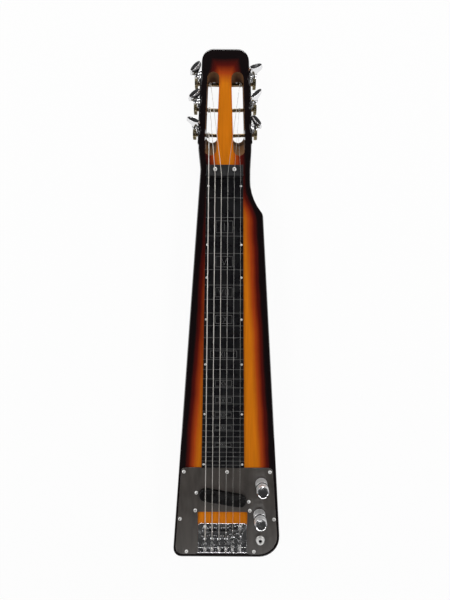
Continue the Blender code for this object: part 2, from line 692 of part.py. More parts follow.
def make_control_plate(finish):
    """Face plate for pickup and controls, with a notch that leaves the wood bare at the bridge."""
    tail = PLATE_TAIL_MARGIN - TAIL_LENGTH
    notch = NOTCH_HALF_WIDTH
    outline = rounded_outline(
        [
            (bass_side(tail) + PLATE_MARGIN, tail, PLATE_TAIL_BASS_RADIUS, 5),
            (-notch, tail, NOTCH_MOUTH_RADIUS, 3),
            (-notch, NOTCH_LENGTH, NOTCH_RADIUS, 2),
            (notch, NOTCH_LENGTH, NOTCH_RADIUS, 2),
            (notch, tail, NOTCH_MOUTH_RADIUS, 3),
            (treble_side(tail) - PLATE_MARGIN, tail, PLATE_TAIL_TREBLE_RADIUS, 7),
            (treble_side(PLATE_LENGTH) - PLATE_SHOULDER_MARGIN, PLATE_LENGTH, PLATE_CORNER_RADIUS, 4),
            (bass_side(PLATE_LENGTH) + PLATE_MARGIN, PLATE_LENGTH, PLATE_CORNER_RADIUS, 4),
        ]
    )
    plate = add_object("control_plate", prism(outline, FACE, PLATE_TOP), finish)
    window = stadium(PICKUP_LENGTH + 2 * PICKUP_FIT, PICKUP_WIDTH + 2 * PICKUP_FIT, 7)
    ends = (FACE - CUT_OVER, PLATE_TOP + CUT_OVER)
    openings = [in_pickup_frame(prism(window, *ends))]
    for x, y in (VOLUME_AT, TONE_AT):
        openings.append(prism(circle(POT_BUSH_RADIUS + HOLE_CLEARANCE, 12, x, y), *ends))
    openings.append(prism(circle(JACK_BUSH_RADIUS + HOLE_CLEARANCE, 12, *JACK_AT), *ends))
    combine(plate, add_object("plate_openings_cut", mesh_bodies(openings)), "DIFFERENCE")


def make_pickup(cover_finish, coil_finish):
    """Blank cover, open underneath, over a bobbin whose base carries the two height screws."""
    top = PLATE_TOP + PICKUP_PROUD
    bottom = top - PICKUP_COVER_DEPTH
    bm = prism(stadium(PICKUP_LENGTH, PICKUP_WIDTH, 7), bottom, top)
    bevel_rims(bm, (top,), PICKUP_EDGE, 2)
    cover = add_object("pickup_cover", in_pickup_frame(bm), cover_finish)
    inside = stadium(PICKUP_LENGTH - 2 * PICKUP_WALL, PICKUP_WIDTH - 2 * PICKUP_WALL, 7)
    hollow = prism(inside, bottom - CUT_OVER, top - PICKUP_WALL)
    combine(cover, add_object("pickup_hollow_cut", in_pickup_frame(hollow)), "DIFFERENCE")
    base_top = bottom - SEAT
    base = prism(stadium(PICKUP_BASE_LENGTH, PICKUP_WIDTH, 6), base_top - PICKUP_BASE_THICKNESS, base_top)
    coil = add_object("pickup_coil", in_pickup_frame(base), coil_finish)
    core_width = 2 * PICKUP_CORE_HALF_WIDTH
    core_length = PICKUP_LENGTH - PICKUP_WIDTH + core_width
    core = prism(stadium(core_length, core_width, 5), base_top - SEAT, top - PICKUP_WALL - 2 * SEAT)
    combine(coil, add_object("pickup_core_shape", in_pickup_frame(core)), "UNION")


def make_control(label, place, finishes):
    """One control: the pot under the plate, its shaft, and a knob with a rubber ring round it."""
    bush_top = PLATE_TOP + POT_BUSH_HEIGHT
    pot_top = FACE - 2 * SEAT
    pot_bottom = pot_top - POT_HEIGHT
    neck_bottom = pot_bottom + POT_HEIGHT / 2
    bore = SHAFT_NECK_RADIUS + SHAFT_CLEARANCE
    nut_bottom = PLATE_TOP + SEAT
    nut_top = nut_bottom + POT_NUT_HEIGHT
    pot_profile = [
        (0, pot_bottom),
        (POT_RADIUS, pot_bottom),
        (POT_RADIUS, pot_top),
        (POT_BUSH_RADIUS, pot_top),
        (POT_BUSH_RADIUS, nut_bottom),
        (POT_NUT_RADIUS, nut_bottom),
        (POT_NUT_RADIUS, nut_top),
        (POT_BUSH_RADIUS, nut_top),
        (POT_BUSH_RADIUS, bush_top),
        (bore, bush_top),
        (bore, neck_bottom),
        (0, neck_bottom),
    ]
    where = (*place, 0)
    add_object(f"{label}_pot", turned(pot_profile, 12), finishes["steel"], location=where)
    shaft_bottom = bush_top + SEAT
    shaft_top = shaft_bottom + SHAFT_LENGTH
    shaft_profile = [
        (0, neck_bottom + SEAT),
        (SHAFT_NECK_RADIUS, neck_bottom + SEAT),
        (SHAFT_NECK_RADIUS, shaft_bottom),
        (SHAFT_RADIUS, shaft_bottom),
        (SHAFT_RADIUS, shaft_top),
        (0, shaft_top),
    ]
    axis = add_empty(f"{label}_axis", where)
    add_object(f"{label}_shaft", turned(shaft_profile, 10), finishes["brass"], parent=axis)
    bottom = PLATE_TOP + KNOB_LIFT
    top = bottom + KNOB_HEIGHT
    knob_bore = SHAFT_RADIUS + SHAFT_CLEARANCE
    recess_top = shaft_bottom + SEAT
    ring_level = bottom + KNOB_HEIGHT * KNOB_RING_AT
    groove = RING_RADIUS + SEAT
    knob_profile = [
        (0, shaft_top + SEAT),
        (knob_bore, shaft_top + SEAT),
        (knob_bore, recess_top),
        (KNOB_RECESS_RADIUS, recess_top),
        (KNOB_RECESS_RADIUS, bottom),
        (KNOB_RADIUS - KNOB_EDGE / 2, bottom),
        (KNOB_RADIUS, bottom + KNOB_EDGE / 2),
        (KNOB_RADIUS, ring_level - groove),
        (KNOB_RADIUS - RING_DEPTH, ring_level - groove),
        (KNOB_RADIUS - RING_DEPTH, ring_level + groove),
        (KNOB_RADIUS, ring_level + groove),
        (KNOB_RADIUS, top - KNOB_EDGE),
        (KNOB_RADIUS - KNOB_EDGE, top),
        (KNOB_RADIUS - KNOB_TOP_INSET, top),
        (KNOB_RADIUS - KNOB_TOP_INSET - KNOB_TOP_DISH, top - KNOB_TOP_DISH),
        (0, top - KNOB_TOP_DISH),
    ]
    add_object(f"{label}_knob", turned(knob_profile, KNOB_STEPS), finishes["chrome"], parent=axis)
    ring_centre = KNOB_RADIUS - RING_DEPTH + SEAT + RING_RADIUS
    section = [
        (ring_centre + RING_RADIUS * math.cos(angle), ring_level + RING_RADIUS * math.sin(angle))
        for angle in [math.tau * step / 6 for step in range(6)]
    ]
    add_object(f"{label}_knob_ring", turned(section, KNOB_STEPS, ring=True), finishes["rubber"], parent=axis)


def make_output_jack(finish):
    """Barrel jack held in the plate by its washer and nut, open for a plug from the face."""
    barrel_top = FACE - SEAT
    barrel_bottom = barrel_top - JACK_BARREL_LENGTH
    washer_bottom = PLATE_TOP + SEAT
    washer_top = washer_bottom + JACK_WASHER_HEIGHT
    nut_top = washer_top + JACK_NUT_HEIGHT
    bush_top = PLATE_TOP + JACK_BUSH_HEIGHT
    floor = barrel_bottom + JACK_BARREL_RADIUS - JACK_HOLE_RADIUS
    profile = [
        (0, barrel_bottom),
        (JACK_BARREL_RADIUS, barrel_bottom),
        (JACK_BARREL_RADIUS, barrel_top),
        (JACK_BUSH_RADIUS, barrel_top),
        (JACK_BUSH_RADIUS, washer_bottom),
        (JACK_WASHER_RADIUS, washer_bottom),
        (JACK_WASHER_RADIUS, washer_top),
        (JACK_NUT_RADIUS, washer_top),
        (JACK_NUT_RADIUS, nut_top),
        (JACK_BUSH_RADIUS, nut_top),
        (JACK_BUSH_RADIUS, bush_top),
        (JACK_HOLE_RADIUS, bush_top),
        (JACK_HOLE_RADIUS, floor),
        (0, floor),
    ]
    add_object("output_jack", turned(profile, 12), finish, location=(*JACK_AT, 0))


def make_bridge_plate(finish):
    """Plate bent up at the back into a lip, drilled for the strings and the intonation screws."""
    outer = -BRIDGE_BACK
    inner = outer + BRIDGE_THICKNESS
    lip_top = BRIDGE_TOP + BRIDGE_LIP_HEIGHT
    bend = BRIDGE_BEND_RADIUS
    profile = [Vector((BRIDGE_FRONT, FACE)), Vector((BRIDGE_FRONT, BRIDGE_TOP)), Vector((inner, BRIDGE_TOP))]
    profile += [Vector((inner, lip_top)), Vector((outer, lip_top))]
    for step in range(4):
        angle = math.pi + math.pi / 2 * step / 3
        point = Vector((math.cos(angle), math.sin(angle))) * bend
        profile.append(Vector((outer + bend, FACE + bend)) + point)
    bm = lay_along_x(prism(profile, -BRIDGE_HALF_WIDTH, BRIDGE_HALF_WIDTH))
    plate = add_object("bridge_plate", bm, finish)
    top = lip_top + CUT_OVER
    cuts = []
    for side in (BASS, TREBLE):
        edge = side * BRIDGE_HALF_WIDTH
        tip = edge - side * BRIDGE_CORNER
        over = side * CUT_OVER
        slope = Vector((over, -CUT_OVER))
        start = Vector((tip, BRIDGE_FRONT)) - slope
        end = Vector((edge, BRIDGE_FRONT - BRIDGE_CORNER)) + slope
        cuts.append(prism([start, end, Vector((end.x, start.y))], FACE - CUT_OVER, top))
    ends = (FACE - CUT_OVER, BRIDGE_TOP + CUT_OVER)
    for number in range(1, STRING_COUNT + 1):
        x = string_x(number, 0)
        cuts.append(prism(circle(STRING_HOLE_RADIUS, 8, x, -STRING_HOLE_FROM_BRIDGE), *ends))
        hole = prism(circle(INTONATION_RADIUS + INTONATION_CLEARANCE, 8), outer - CUT_OVER, inner + CUT_OVER)
        cuts.append(moved(lay_along_y(hole), (x, 0, INTONATION_LEVEL)))
    combine(plate, add_object("bridge_cuts", mesh_bodies(cuts)), "DIFFERENCE")


def make_saddle(number, finish):
    """Saddle block: a land for the string, an opening it drops through, and two height screws."""
    bottom = BRIDGE_TOP + SADDLE_LIFT
    back_top = STRING_BED - SADDLE_BACK_DROP
    profile = [
        Vector((SADDLE_FRONT, bottom)),
        Vector((SADDLE_FRONT, STRING_BED - SADDLE_NOSE_DROP)),
        Vector((SADDLE_FRONT / 2, STRING_BED - SADDLE_NOSE_DROP / 5)),
        Vector((0, STRING_BED)),
        Vector((-SADDLE_LAND, STRING_BED)),
        Vector((-SADDLE_LAND - SADDLE_BACK_DROP / 2, back_top)),
        Vector((-SADDLE_LENGTH, back_top)),
        Vector((-SADDLE_LENGTH, bottom)),
    ]
    bm = lay_along_x(prism(profile, -SADDLE_WIDTH / 2, SADDLE_WIDTH / 2))
    where = (string_x(number, 0), SADDLE_PLACES[number - 1], 0)
    saddle = add_object(f"saddle_{number}", bm, finish, location=where)
    half = SADDLE_OPENING_WIDTH / 2
    opening = prism(
        box_outline(-half, half, -SADDLE_OPENING_END, -SADDLE_LAND, half / 4, 1),
        bottom - CUT_OVER,
        STRING_BED + CUT_OVER,
    )
    helper = add_object(f"saddle_{number}_opening_cut", opening, location=where)
    combine(saddle, helper, "DIFFERENCE")
    tap_outline = circle(INTONATION_RADIUS + INTONATION_CLEARANCE, 8)
    tap = prism(tap_outline, -SADDLE_LENGTH - CUT_OVER, CUT_OVER - SADDLE_OPENING_END)
    moved(lay_along_y(tap), (0, 0, INTONATION_LEVEL))
    combine(saddle, add_object(f"saddle_{number}_tap_cut", tap, location=where), "DIFFERENCE")
    screws = []
    for side in (BASS, TREBLE):
        outline = circle(HEIGHT_SCREW_RADIUS, 6, side * HEIGHT_SCREW_OUT, HEIGHT_SCREW_AT)
        screws.append(prism(outline, BRIDGE_TOP + SEAT, STRING_BED + HEIGHT_SCREW_PROUD))
    helper = add_object(f"saddle_{number}_height_screws", mesh_bodies(screws), location=where)
    combine(saddle, helper, "UNION")


def make_intonation(number, screw_finish, spring_finish):
    """Screw that moves a saddle, held in the lip, and the spring round it that presses the saddle away."""
    x = string_x(number, 0)
    saddle_back = SADDLE_PLACES[number - 1] - SADDLE_LENGTH
    tip = SADDLE_PLACES[number - 1] - SADDLE_OPENING_END + INTONATION_TIP
    head_end = -BRIDGE_BACK - SEAT
    start = head_end - INTONATION_HEAD_LENGTH
    profile = [
        (0, start),
        (INTONATION_HEAD_RADIUS * 0.8, start),
        (INTONATION_HEAD_RADIUS, start + INTONATION_HEAD_LENGTH * 0.4),
        (INTONATION_HEAD_RADIUS, head_end),
        (INTONATION_RADIUS, head_end),
        (INTONATION_RADIUS, tip),
        (0, tip),
    ]
    screw = lay_along_y(turned(profile, 8))
    add_object(f"intonation_screw_{number}", screw, screw_finish, location=(x, 0, INTONATION_LEVEL))
    first = -BRIDGE_BACK + BRIDGE_THICKNESS + SPRING_WIRE_RADIUS + SEAT
    last = saddle_back - SPRING_WIRE_RADIUS - SEAT
    steps = SPRING_CURLS * POINTS_PER_CURL
    coil = []
    for step in range(steps + 1):
        angle = math.tau * step / POINTS_PER_CURL
        across = SPRING_RADIUS * math.cos(angle)
        coil.append(
            Vector(
                (
                    x + across,
                    first + (last - first) * step / steps,
                    INTONATION_LEVEL + SPRING_RADIUS * math.sin(angle),
                )
            )
        )
    name = f"intonation_spring_{number}"
    add_tube(name, coil, SPRING_WIRE_RADIUS, spring_finish)
    print_least_gap(name, coil, SPRING_WIRE_RADIUS, POINTS_PER_CURL // 2 + 1)


def string_route(number):
    """A string from its ball end, up through the body, over saddle and nut, and round its post."""
    radius = STRING_DIAMETERS[number - 1] / 2
    level = STRING_BED + SEAT + radius
    crest = SADDLE_PLACES[number - 1]
    bend = crest - SADDLE_LAND - SADDLE_BACK_TRAVEL - 2 * SEAT - radius
    hole = -STRING_HOLE_FROM_BRIDGE
    x = string_x(number, 0)
    ball_top = FERRULE_DEPTH - 2 * SEAT
    route = [Vector((x, hole, ball_top - BALL_LENGTH)), Vector((x, hole, ball_top))]
    route += [Vector((x, hole, ball_top + SEAT)), Vector((x, hole, FACE))]
    route += [Vector((x, hole, BRIDGE_TOP)), Vector((x, bend - radius, level - 2 * radius))]
    route += [Vector((x, bend, level - radius / 2)), Vector((x, bend + 2 * radius, level))]
    nut_front = SCALE_LENGTH - NUT_THICKNESS
    nut_back = SCALE_LENGTH + NUT_THICKNESS / 2 + 2 * SEAT
    nut_x = string_x(number, SCALE_LENGTH)
    route += [Vector((nut_x, nut_front, level)), Vector((nut_x, nut_back, level))]

    side = tuner_side(number)
    turn, frame = tuner_frame(side)
    to_world = Matrix.Translation(frame) @ Matrix.Rotation(turn, 4, "Z")
    reach = POST_RADIUS + SEAT + radius
    row = tuner_row(number)
    drop = level - TUNER_LEVEL - reach
    run = TUNER_LINE + row - nut_back
    slope = math.atan2(drop, run)
    pitch = 2 * radius + WINDING_GAP
    start_x = side * (WINDING_PLACES[number - 1] - head_side(TUNER_LINE + row) - pitch * WINDING_LOOPS / 2)
    winding = []
    for step in range(WINDING_LOOPS * POINTS_PER_LOOP + 1):
        share = step / POINTS_PER_LOOP
        angle = math.pi / 2 - slope - math.tau * share
        x = start_x + side * pitch * share
        local = Vector((x, row + reach * math.cos(angle), reach * math.sin(angle)))
        winding.append(to_world @ local)
    print_least_gap(f"string_{number}", winding, radius, POINTS_PER_LOOP // 2 + 1)
    return route + winding


def make_string(number, finish):
    radius = STRING_DIAMETERS[number - 1] / 2
    add_tube(f"string_{number}", string_route(number), radius, finish, (0, 1), BALL_RADIUS)


def make_tuner_plate(side, label, finish, frame):
    """Side plate with a hole for each post and two lugs, above and below, for each worm."""
    near = side * SEAT
    far = side * (SEAT + TUNER_PLATE_THICKNESS)
    half_rows = (TUNERS_PER_SIDE - 1) / 2 * TUNER_SPACING
    half_length = half_rows + TUNER_PLATE_OVERHANG
    half_height = TUNER_PLATE_HEIGHT / 2
    outline = box_outline(-half_length, half_length, -half_height, half_height, TUNER_PLATE_RADIUS, 3)
    bm = lay_along_x(prism(outline, *sorted((near, far))))
    plate = add_object(f"{label}_tuner_plate", bm, finish, parent=frame)
    rows = sorted({tuner_row(number) for number in range(1, STRING_COUNT + 1)})
    lugs = []
    holes = []
    for row in rows:
        worm_y = row + WORM_DISTANCE
        ends = (side * SEAT * 2, side * WORM_OUT)
        arc = [math.pi * (step / 5 - 0.5) for step in range(6)]
        tip = [
            Vector((ends[1] + side * LUG_RADIUS * math.cos(a), worm_y + LUG_RADIUS * math.sin(a)))
            for a in arc
        ]
        outline = [Vector((ends[0], worm_y - LUG_RADIUS))] + tip + [Vector((ends[0], worm_y + LUG_RADIUS))]
        for sign in (-1, 1):
            outer_face = sign * (half_height - LUG_INSET)
            inner_face = outer_face - sign * LUG_THICKNESS
            lugs.append(prism(outline, *sorted((outer_face, inner_face))))
        worm_hole = circle(WORM_SHAFT_RADIUS + LUG_CLEARANCE, 8, side * WORM_OUT, worm_y)
        holes.append(prism(worm_hole, -half_height - CUT_OVER, half_height + CUT_OVER))
        post_hole = lay_along_x(
            prism(circle(POST_RADIUS + POST_CLEARANCE, 10), *sorted((-side * SEAT, far + side * SEAT)))
        )
        holes.append(moved(post_hole, (0, row, 0)))
    helper = add_object(f"{label}_lugs", mesh_bodies(lugs), parent=frame)
    combine(plate, helper, "UNION")
    helper = add_object(f"{label}_tuner_holes_cut", mesh_bodies(holes), parent=frame)
    combine(plate, helper, "DIFFERENCE")


def worm_rows():
    """Rows of the worm's thread, four to a pitch, each as (height, radius) where its helix starts."""
    crest = WORM_PITCH_RADIUS + WORM_ADDENDUM
    root = WORM_PITCH_RADIUS - WORM_DEDENDUM
    flank = (WORM_PITCH - WORM_CREST_WIDTH - WORM_ROOT_WIDTH) / 2
    half_turns = math.ceil(WORM_LENGTH / WORM_PITCH / 2) + 2
    rows = []
    for turn in range(-half_turns, half_turns):
        height = turn * WORM_PITCH - WORM_CREST_WIDTH / 2
        rows.append((height, crest))
        rows.append((height + WORM_CREST_WIDTH, crest))
        rows.append((height + WORM_CREST_WIDTH + flank, root))
        rows.append((height + WORM_PITCH - flank, root))
    return rows


def worm_point(row, step):
    """A point of a row's helix, run out to the root at the worm's ends and held between them."""
    root = WORM_PITCH_RADIUS - WORM_DEDENDUM
    half = WORM_LENGTH / 2
    rise = WORM_PITCH * (step / KEY_STEPS + 1 / 4)  # a crest is level with the gear's axis
    height = max(-half, min(half, row[0] + rise))
    run_out = min(1, (half - abs(height)) / (WORM_PITCH / 4))
    radius = root + (row[1] - root) * run_out
    angle = math.tau * step / KEY_STEPS
    return Vector((radius * math.cos(angle), radius * math.sin(angle), height))


def oval(height, half_width, half_thickness, turn):
    """One ring of a key, turned about its shaft, with its points kept in step with the worm's."""
    ring = []
    for step in range(KEY_STEPS):
        angle = math.tau * step / KEY_STEPS - turn
        across = half_width * math.cos(angle)
        through = half_thickness * math.sin(angle)
        ring.append(Matrix.Rotation(turn, 3, "Z") @ Vector((across, through, height)))
    return ring


def key_skin(turn):
    """One tuner key about its axis, in one skin: the tail, the worm, the shaft and the button."""
    lug = TUNER_PLATE_HEIGHT / 2 - LUG_INSET
    collar = lug + SEAT
    button = collar + KEY_COLLAR_LENGTH
    wide, thick = BUTTON_HALF_WIDTH, BUTTON_HALF_THICKNESS
    tail = -lug - SEAT
    below = [
        (tail - KEY_TAIL_LENGTH, KEY_TAIL_RADIUS, KEY_TAIL_RADIUS),
        (tail, KEY_TAIL_RADIUS, KEY_TAIL_RADIUS),
        (tail, WORM_SHAFT_RADIUS, WORM_SHAFT_RADIUS),
        (-WORM_LENGTH / 2, WORM_SHAFT_RADIUS, WORM_SHAFT_RADIUS),
    ]
    above = [
        (WORM_LENGTH / 2, WORM_SHAFT_RADIUS, WORM_SHAFT_RADIUS),
        (collar, WORM_SHAFT_RADIUS, WORM_SHAFT_RADIUS),
        (collar, KEY_COLLAR_RADIUS, KEY_COLLAR_RADIUS),
        (button, KEY_COLLAR_RADIUS * 0.9, KEY_COLLAR_RADIUS * 0.9),
        (button + BUTTON_HEIGHT * 0.12, wide * 0.6, thick * 0.95),
        (button + BUTTON_HEIGHT * 0.38, wide, thick),
        (button + BUTTON_HEIGHT * 0.7, wide * 0.98, thick),
        (button + BUTTON_HEIGHT * 0.94, wide * 0.88, thick * 0.92),
        (button + BUTTON_HEIGHT, wide * 0.82, thick * 0.75),
    ]
    bm = bmesh.new()
    rows = worm_rows()
    worm = [[bm.verts.new(worm_point(row, step)) for step in range(KEY_STEPS)] for row in rows]
    lower = [[bm.verts.new(point) for point in oval(*size, turn)] for size in below]
    upper = [[bm.verts.new(point) for point in oval(*size, turn)] for size in above]
    for row in range(len(rows) - 5):
        for step in range(KEY_STEPS - 1):
            bm.faces.new((worm[row][step], worm[row][step + 1], worm[row + 1][step + 1], worm[row + 1][step]))
        bm.faces.new((worm[row][-1], worm[row + 4][0], worm[row + 5][0], worm[row + 1][-1]))
    for rings in (lower + [worm[0]], [worm[-5]] + upper):
        for first, second in zip(rings, rings[1:]):
            for step in range(KEY_STEPS):
                bm.faces.new((first[step - 1], first[step], second[step], second[step - 1]))
    bm.faces.new(lower[0])
    bm.faces.new(upper[-1])
    bmesh.ops.remove_doubles(bm, verts=bm.verts, dist=MERGE_DISTANCE)
    bmesh.ops.recalc_face_normals(bm, faces=bm.faces)
    return bm


def gear_ring(offset):
    """Tooth outline of a gear at an offset along its axis, turned to follow the worm's lead."""
    lead = WORM_PITCH / (math.tau * WORM_PITCH_RADIUS)
    turn = offset * lead / GEAR_PITCH_RADIUS
    ring = []
    for tooth in range(GEAR_TEETH):
        centre = turn + math.tau * (tooth + 0.5) / GEAR_TEETH
        for width, radius, side in (
            (GEAR_ROOT_WIDTH, GEAR_ROOT_RADIUS, -1),
            (GEAR_TIP_WIDTH, GEAR_TIP_RADIUS, -1),
            (GEAR_TIP_WIDTH, GEAR_TIP_RADIUS, 1),
            (GEAR_ROOT_WIDTH, GEAR_ROOT_RADIUS, 1),
        ):
            angle = centre + side * width / 2 / radius
            ring.append((offset, radius * math.cos(angle), radius * math.sin(angle)))
    return ring


def make_tuner(number, finishes, frame):
    """One tuner: the key with its worm, and the gear on the post that it turns."""
    side = tuner_side(number)
    row = tuner_row(number)
    key_axis = (side * WORM_OUT, row + WORM_DISTANCE, 0)
    turn = math.radians(BUTTON_REST[number - 1]) - side * HEAD_TAPER
    add_object(f"tuner_{number}_key", key_skin(turn), finishes["chrome"], parent=frame, location=key_axis)

    half = GEAR_THICKNESS / 2
    gear_bm = loft([gear_ring(-half), gear_ring(half)])
    gear_at = (side * WORM_OUT, row, 0)
    gear = add_object(f"tuner_{number}_gear", gear_bm, finishes["brass"], parent=frame, location=gear_at)
    bore_round = circle(POST_STUB_RADIUS + HOLE_CLEARANCE, 10)
    bore = lay_along_x(prism(bore_round, -half - CUT_OVER, half + CUT_OVER))
    helper = add_object(f"tuner_{number}_gear_bore", bore, parent=frame, location=gear_at)
    combine(gear, helper, "DIFFERENCE")

    inner_end = -(SLOT_WALL + SLOT_WIDTH + POST_SOCKET)
    shoulder = WORM_OUT - half - SEAT
    outer_end = WORM_OUT + half + SEAT
    profile = [
        (0, side * inner_end),
        (POST_RADIUS, side * inner_end),
        (POST_RADIUS, side * shoulder),
        (POST_STUB_RADIUS, side * shoulder),
        (POST_STUB_RADIUS, side * outer_end),
        (0, side * outer_end),
    ]
    post_bm = lay_along_x(turned(profile, 12))
    add_object(f"tuner_{number}_post", post_bm, finishes["brass"], parent=frame, location=(0, row, 0))


def main():
    remove_start_objects()
    finishes = make_finishes()
    frames = {}
    for side, label in ((BASS, "bass"), (TREBLE, "treble")):
        turn, place = tuner_frame(side)
        frames[side] = add_empty(f"{label}_tuner_line", place, turn=turn)
        make_tuner_plate(side, label, finishes["chrome"], frames[side])
    make_body(finishes["sunburst"], frames)
    make_fretboard(finishes["fretboard_black"])
    make_nut(finishes["nut_black"])
    make_control_plate(finishes["plate_grey"])
    make_pickup(finishes["pickup_black"], finishes["rubber"])
    make_control("volume", VOLUME_AT, finishes)
    make_control("tone", TONE_AT, finishes)
    make_output_jack(finishes["chrome"])
    make_bridge_plate(finishes["chrome"])
    for number in range(1, STRING_COUNT + 1):
        make_saddle(number, finishes["chrome"])
        make_intonation(number, finishes["steel"], finishes["steel"])
        make_string(number, finishes["string_steel"])
        make_tuner(number, finishes, frames[tuner_side(number)])


main()
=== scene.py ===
"""The looks of a six-string electric lap steel guitar: sunburst wood, dark plates, chrome hardware."""

import json
import math

import bmesh
import bpy
from mathutils import Matrix, Vector

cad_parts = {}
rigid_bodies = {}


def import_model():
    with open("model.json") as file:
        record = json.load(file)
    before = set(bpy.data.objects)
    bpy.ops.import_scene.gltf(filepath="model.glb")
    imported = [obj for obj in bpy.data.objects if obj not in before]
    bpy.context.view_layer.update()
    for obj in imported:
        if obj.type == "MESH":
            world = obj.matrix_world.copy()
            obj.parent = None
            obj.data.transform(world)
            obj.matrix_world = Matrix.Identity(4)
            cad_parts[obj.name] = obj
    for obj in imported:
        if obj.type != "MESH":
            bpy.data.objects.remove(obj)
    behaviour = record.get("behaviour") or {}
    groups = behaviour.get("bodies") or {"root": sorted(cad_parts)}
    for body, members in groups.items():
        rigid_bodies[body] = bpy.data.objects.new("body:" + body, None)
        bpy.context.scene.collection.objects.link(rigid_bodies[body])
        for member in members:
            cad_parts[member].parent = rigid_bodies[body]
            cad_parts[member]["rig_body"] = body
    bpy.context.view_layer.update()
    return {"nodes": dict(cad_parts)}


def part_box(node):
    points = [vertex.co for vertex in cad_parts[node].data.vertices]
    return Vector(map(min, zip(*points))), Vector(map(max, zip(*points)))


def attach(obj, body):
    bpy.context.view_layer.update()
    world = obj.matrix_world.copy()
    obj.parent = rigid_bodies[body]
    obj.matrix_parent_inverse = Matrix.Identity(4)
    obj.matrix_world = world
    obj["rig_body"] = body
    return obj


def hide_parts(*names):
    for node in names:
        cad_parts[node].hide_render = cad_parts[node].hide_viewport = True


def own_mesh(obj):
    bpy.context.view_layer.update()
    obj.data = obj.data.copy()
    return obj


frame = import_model()
nodes = frame["nodes"]

# The camera hangs over the middle of the strings and looks down, tipped a little towards the tail.
# Its short lens sees the whole guitar from arm's length.
CAMERA_PLACE = (0.0017, 0.39507, 0.4303)
CAMERA_TILT = math.radians(-2.124)
CAMERA_ROLL = math.radians(0.38)
CAMERA_LENS = 14.85
SENSOR_WIDTH = 36
NEAREST_SEEN = 0.01
camera_data = bpy.data.cameras.new("camera")
camera_data.lens = CAMERA_LENS
camera_data.sensor_width = SENSOR_WIDTH
camera_data.clip_start = NEAREST_SEEN
camera = bpy.data.objects.new("camera", camera_data)
bpy.context.scene.collection.objects.link(camera)
camera.location = CAMERA_PLACE
camera_turn = Matrix.Rotation(CAMERA_TILT, 3, "X") @ Matrix.Rotation(CAMERA_ROLL, 3, "Z")
camera.rotation_euler = camera_turn.to_euler()
bpy.context.scene.camera = camera
bpy.context.scene.view_settings.view_transform = "Standard"

# A white studio: a pale floor under the back, a long soft box on each side, a lamp beyond each end, and
# a sky that is pale at the horizon and dark overhead. The camera itself sees the sky white.
MIDDLE = Vector((0, 0.36, 0.03))
LAMPS = {  # place, length and width in metres, then watts
    "bass_soft_box": ((-1.15, 0.36, 1.0), 2.0, 0.5, 13),
    "treble_soft_box": ((1.15, 0.36, 1.0), 2.0, 0.5, 13),
    "head_lamp": ((0.0, 2.1, 0.8), 0.8, 0.25, 14),
    "tail_lamp": ((0.1, -1.3, 0.8), 0.8, 0.25, 3),
}
SKY_STOPS = [
    (0.0, (0.62, 0.62, 0.62)),
    (0.25, (0.42, 0.42, 0.42)),
    (0.6, (0.055, 0.055, 0.055)),
    (1.0, (0.02, 0.02, 0.02)),
]
FLOOR_REACH = 6
FLOOR_LEVEL = -0.0004
FLOOR_SHARE = 0.94  # how much of the floor's white doesn't depend on the lamps


def soft_box(name, place, length, width, watts):
    """A rectangular lamp turned to the guitar's middle, with its length level."""
    lamp_data = bpy.data.lights.new(name, "AREA")
    lamp_data.shape = "RECTANGLE"
    lamp_data.size = length
    lamp_data.size_y = width
    lamp_data.energy = watts
    lamp = bpy.data.objects.new(name, lamp_data)
    bpy.context.scene.collection.objects.link(lamp)
    lamp.location = place
    lamp.rotation_euler = (MIDDLE - Vector(place)).to_track_quat("-Z", "Y").to_euler()


def calc(tree, operation, *values):
    """A maths node on sockets or numbers; gives its output socket."""
    node = tree.nodes.new("ShaderNodeMath")
    node.operation = operation
    for socket, value in zip(node.inputs, values):
        if isinstance(value, bpy.types.NodeSocket):
            tree.links.new(value, socket)
        else:
            socket.default_value = value
    return node.outputs[0]


def ramp(tree, value, stops):
    """A colour ramp with stops of (place, colour), read at the value."""
    node = tree.nodes.new("ShaderNodeValToRGB")
    elements = node.color_ramp.elements
    while len(elements) < len(stops):
        elements.new(0.5)
    for element, (place, color) in zip(elements, stops):
        element.position = place
        element.color = (*color, 1)
    tree.links.new(value, node.inputs["Fac"])
    return node.outputs["Color"]


def new_finish(name, color, roughness, metallic=0.0):
    """A Principled material and its shader node."""
    finish = bpy.data.materials.new(name)
    finish.use_nodes = True
    shader = finish.node_tree.nodes["Principled BSDF"]
    shader.inputs["Base Color"].default_value = (*color, 1)
    shader.inputs["Roughness"].default_value = roughness
    shader.inputs["Metallic"].default_value = metallic
    return finish, shader


for name, (place, length, width, watts) in LAMPS.items():
    soft_box(name, place, length, width, watts)

world = bpy.data.worlds.new("studio")
world.use_nodes = True
bpy.context.scene.world = world
sky = world.node_tree
sky.nodes.clear()
direction = sky.nodes.new("ShaderNodeTexCoord")
direction_parts = sky.nodes.new("ShaderNodeSeparateXYZ")
sky.links.new(direction.outputs["Generated"], direction_parts.inputs[0])
sky_glow = sky.nodes.new("ShaderNodeBackground")
sky.links.new(ramp(sky, direction_parts.outputs["Z"], SKY_STOPS), sky_glow.inputs["Color"])
sky_white = sky.nodes.new("ShaderNodeBackground")
sky_white.inputs["Color"].default_value = (1, 1, 1, 1)
sky_mix = sky.nodes.new("ShaderNodeMixShader")
sky_ray = sky.nodes.new("ShaderNodeLightPath")
sky_out = sky.nodes.new("ShaderNodeOutputWorld")
sky.links.new(sky_ray.outputs["Is Camera Ray"], sky_mix.inputs["Fac"])
sky.links.new(sky_glow.outputs[0], sky_mix.inputs[1])
sky.links.new(sky_white.outputs[0], sky_mix.inputs[2])
sky.links.new(sky_mix.outputs[0], sky_out.inputs["Surface"])

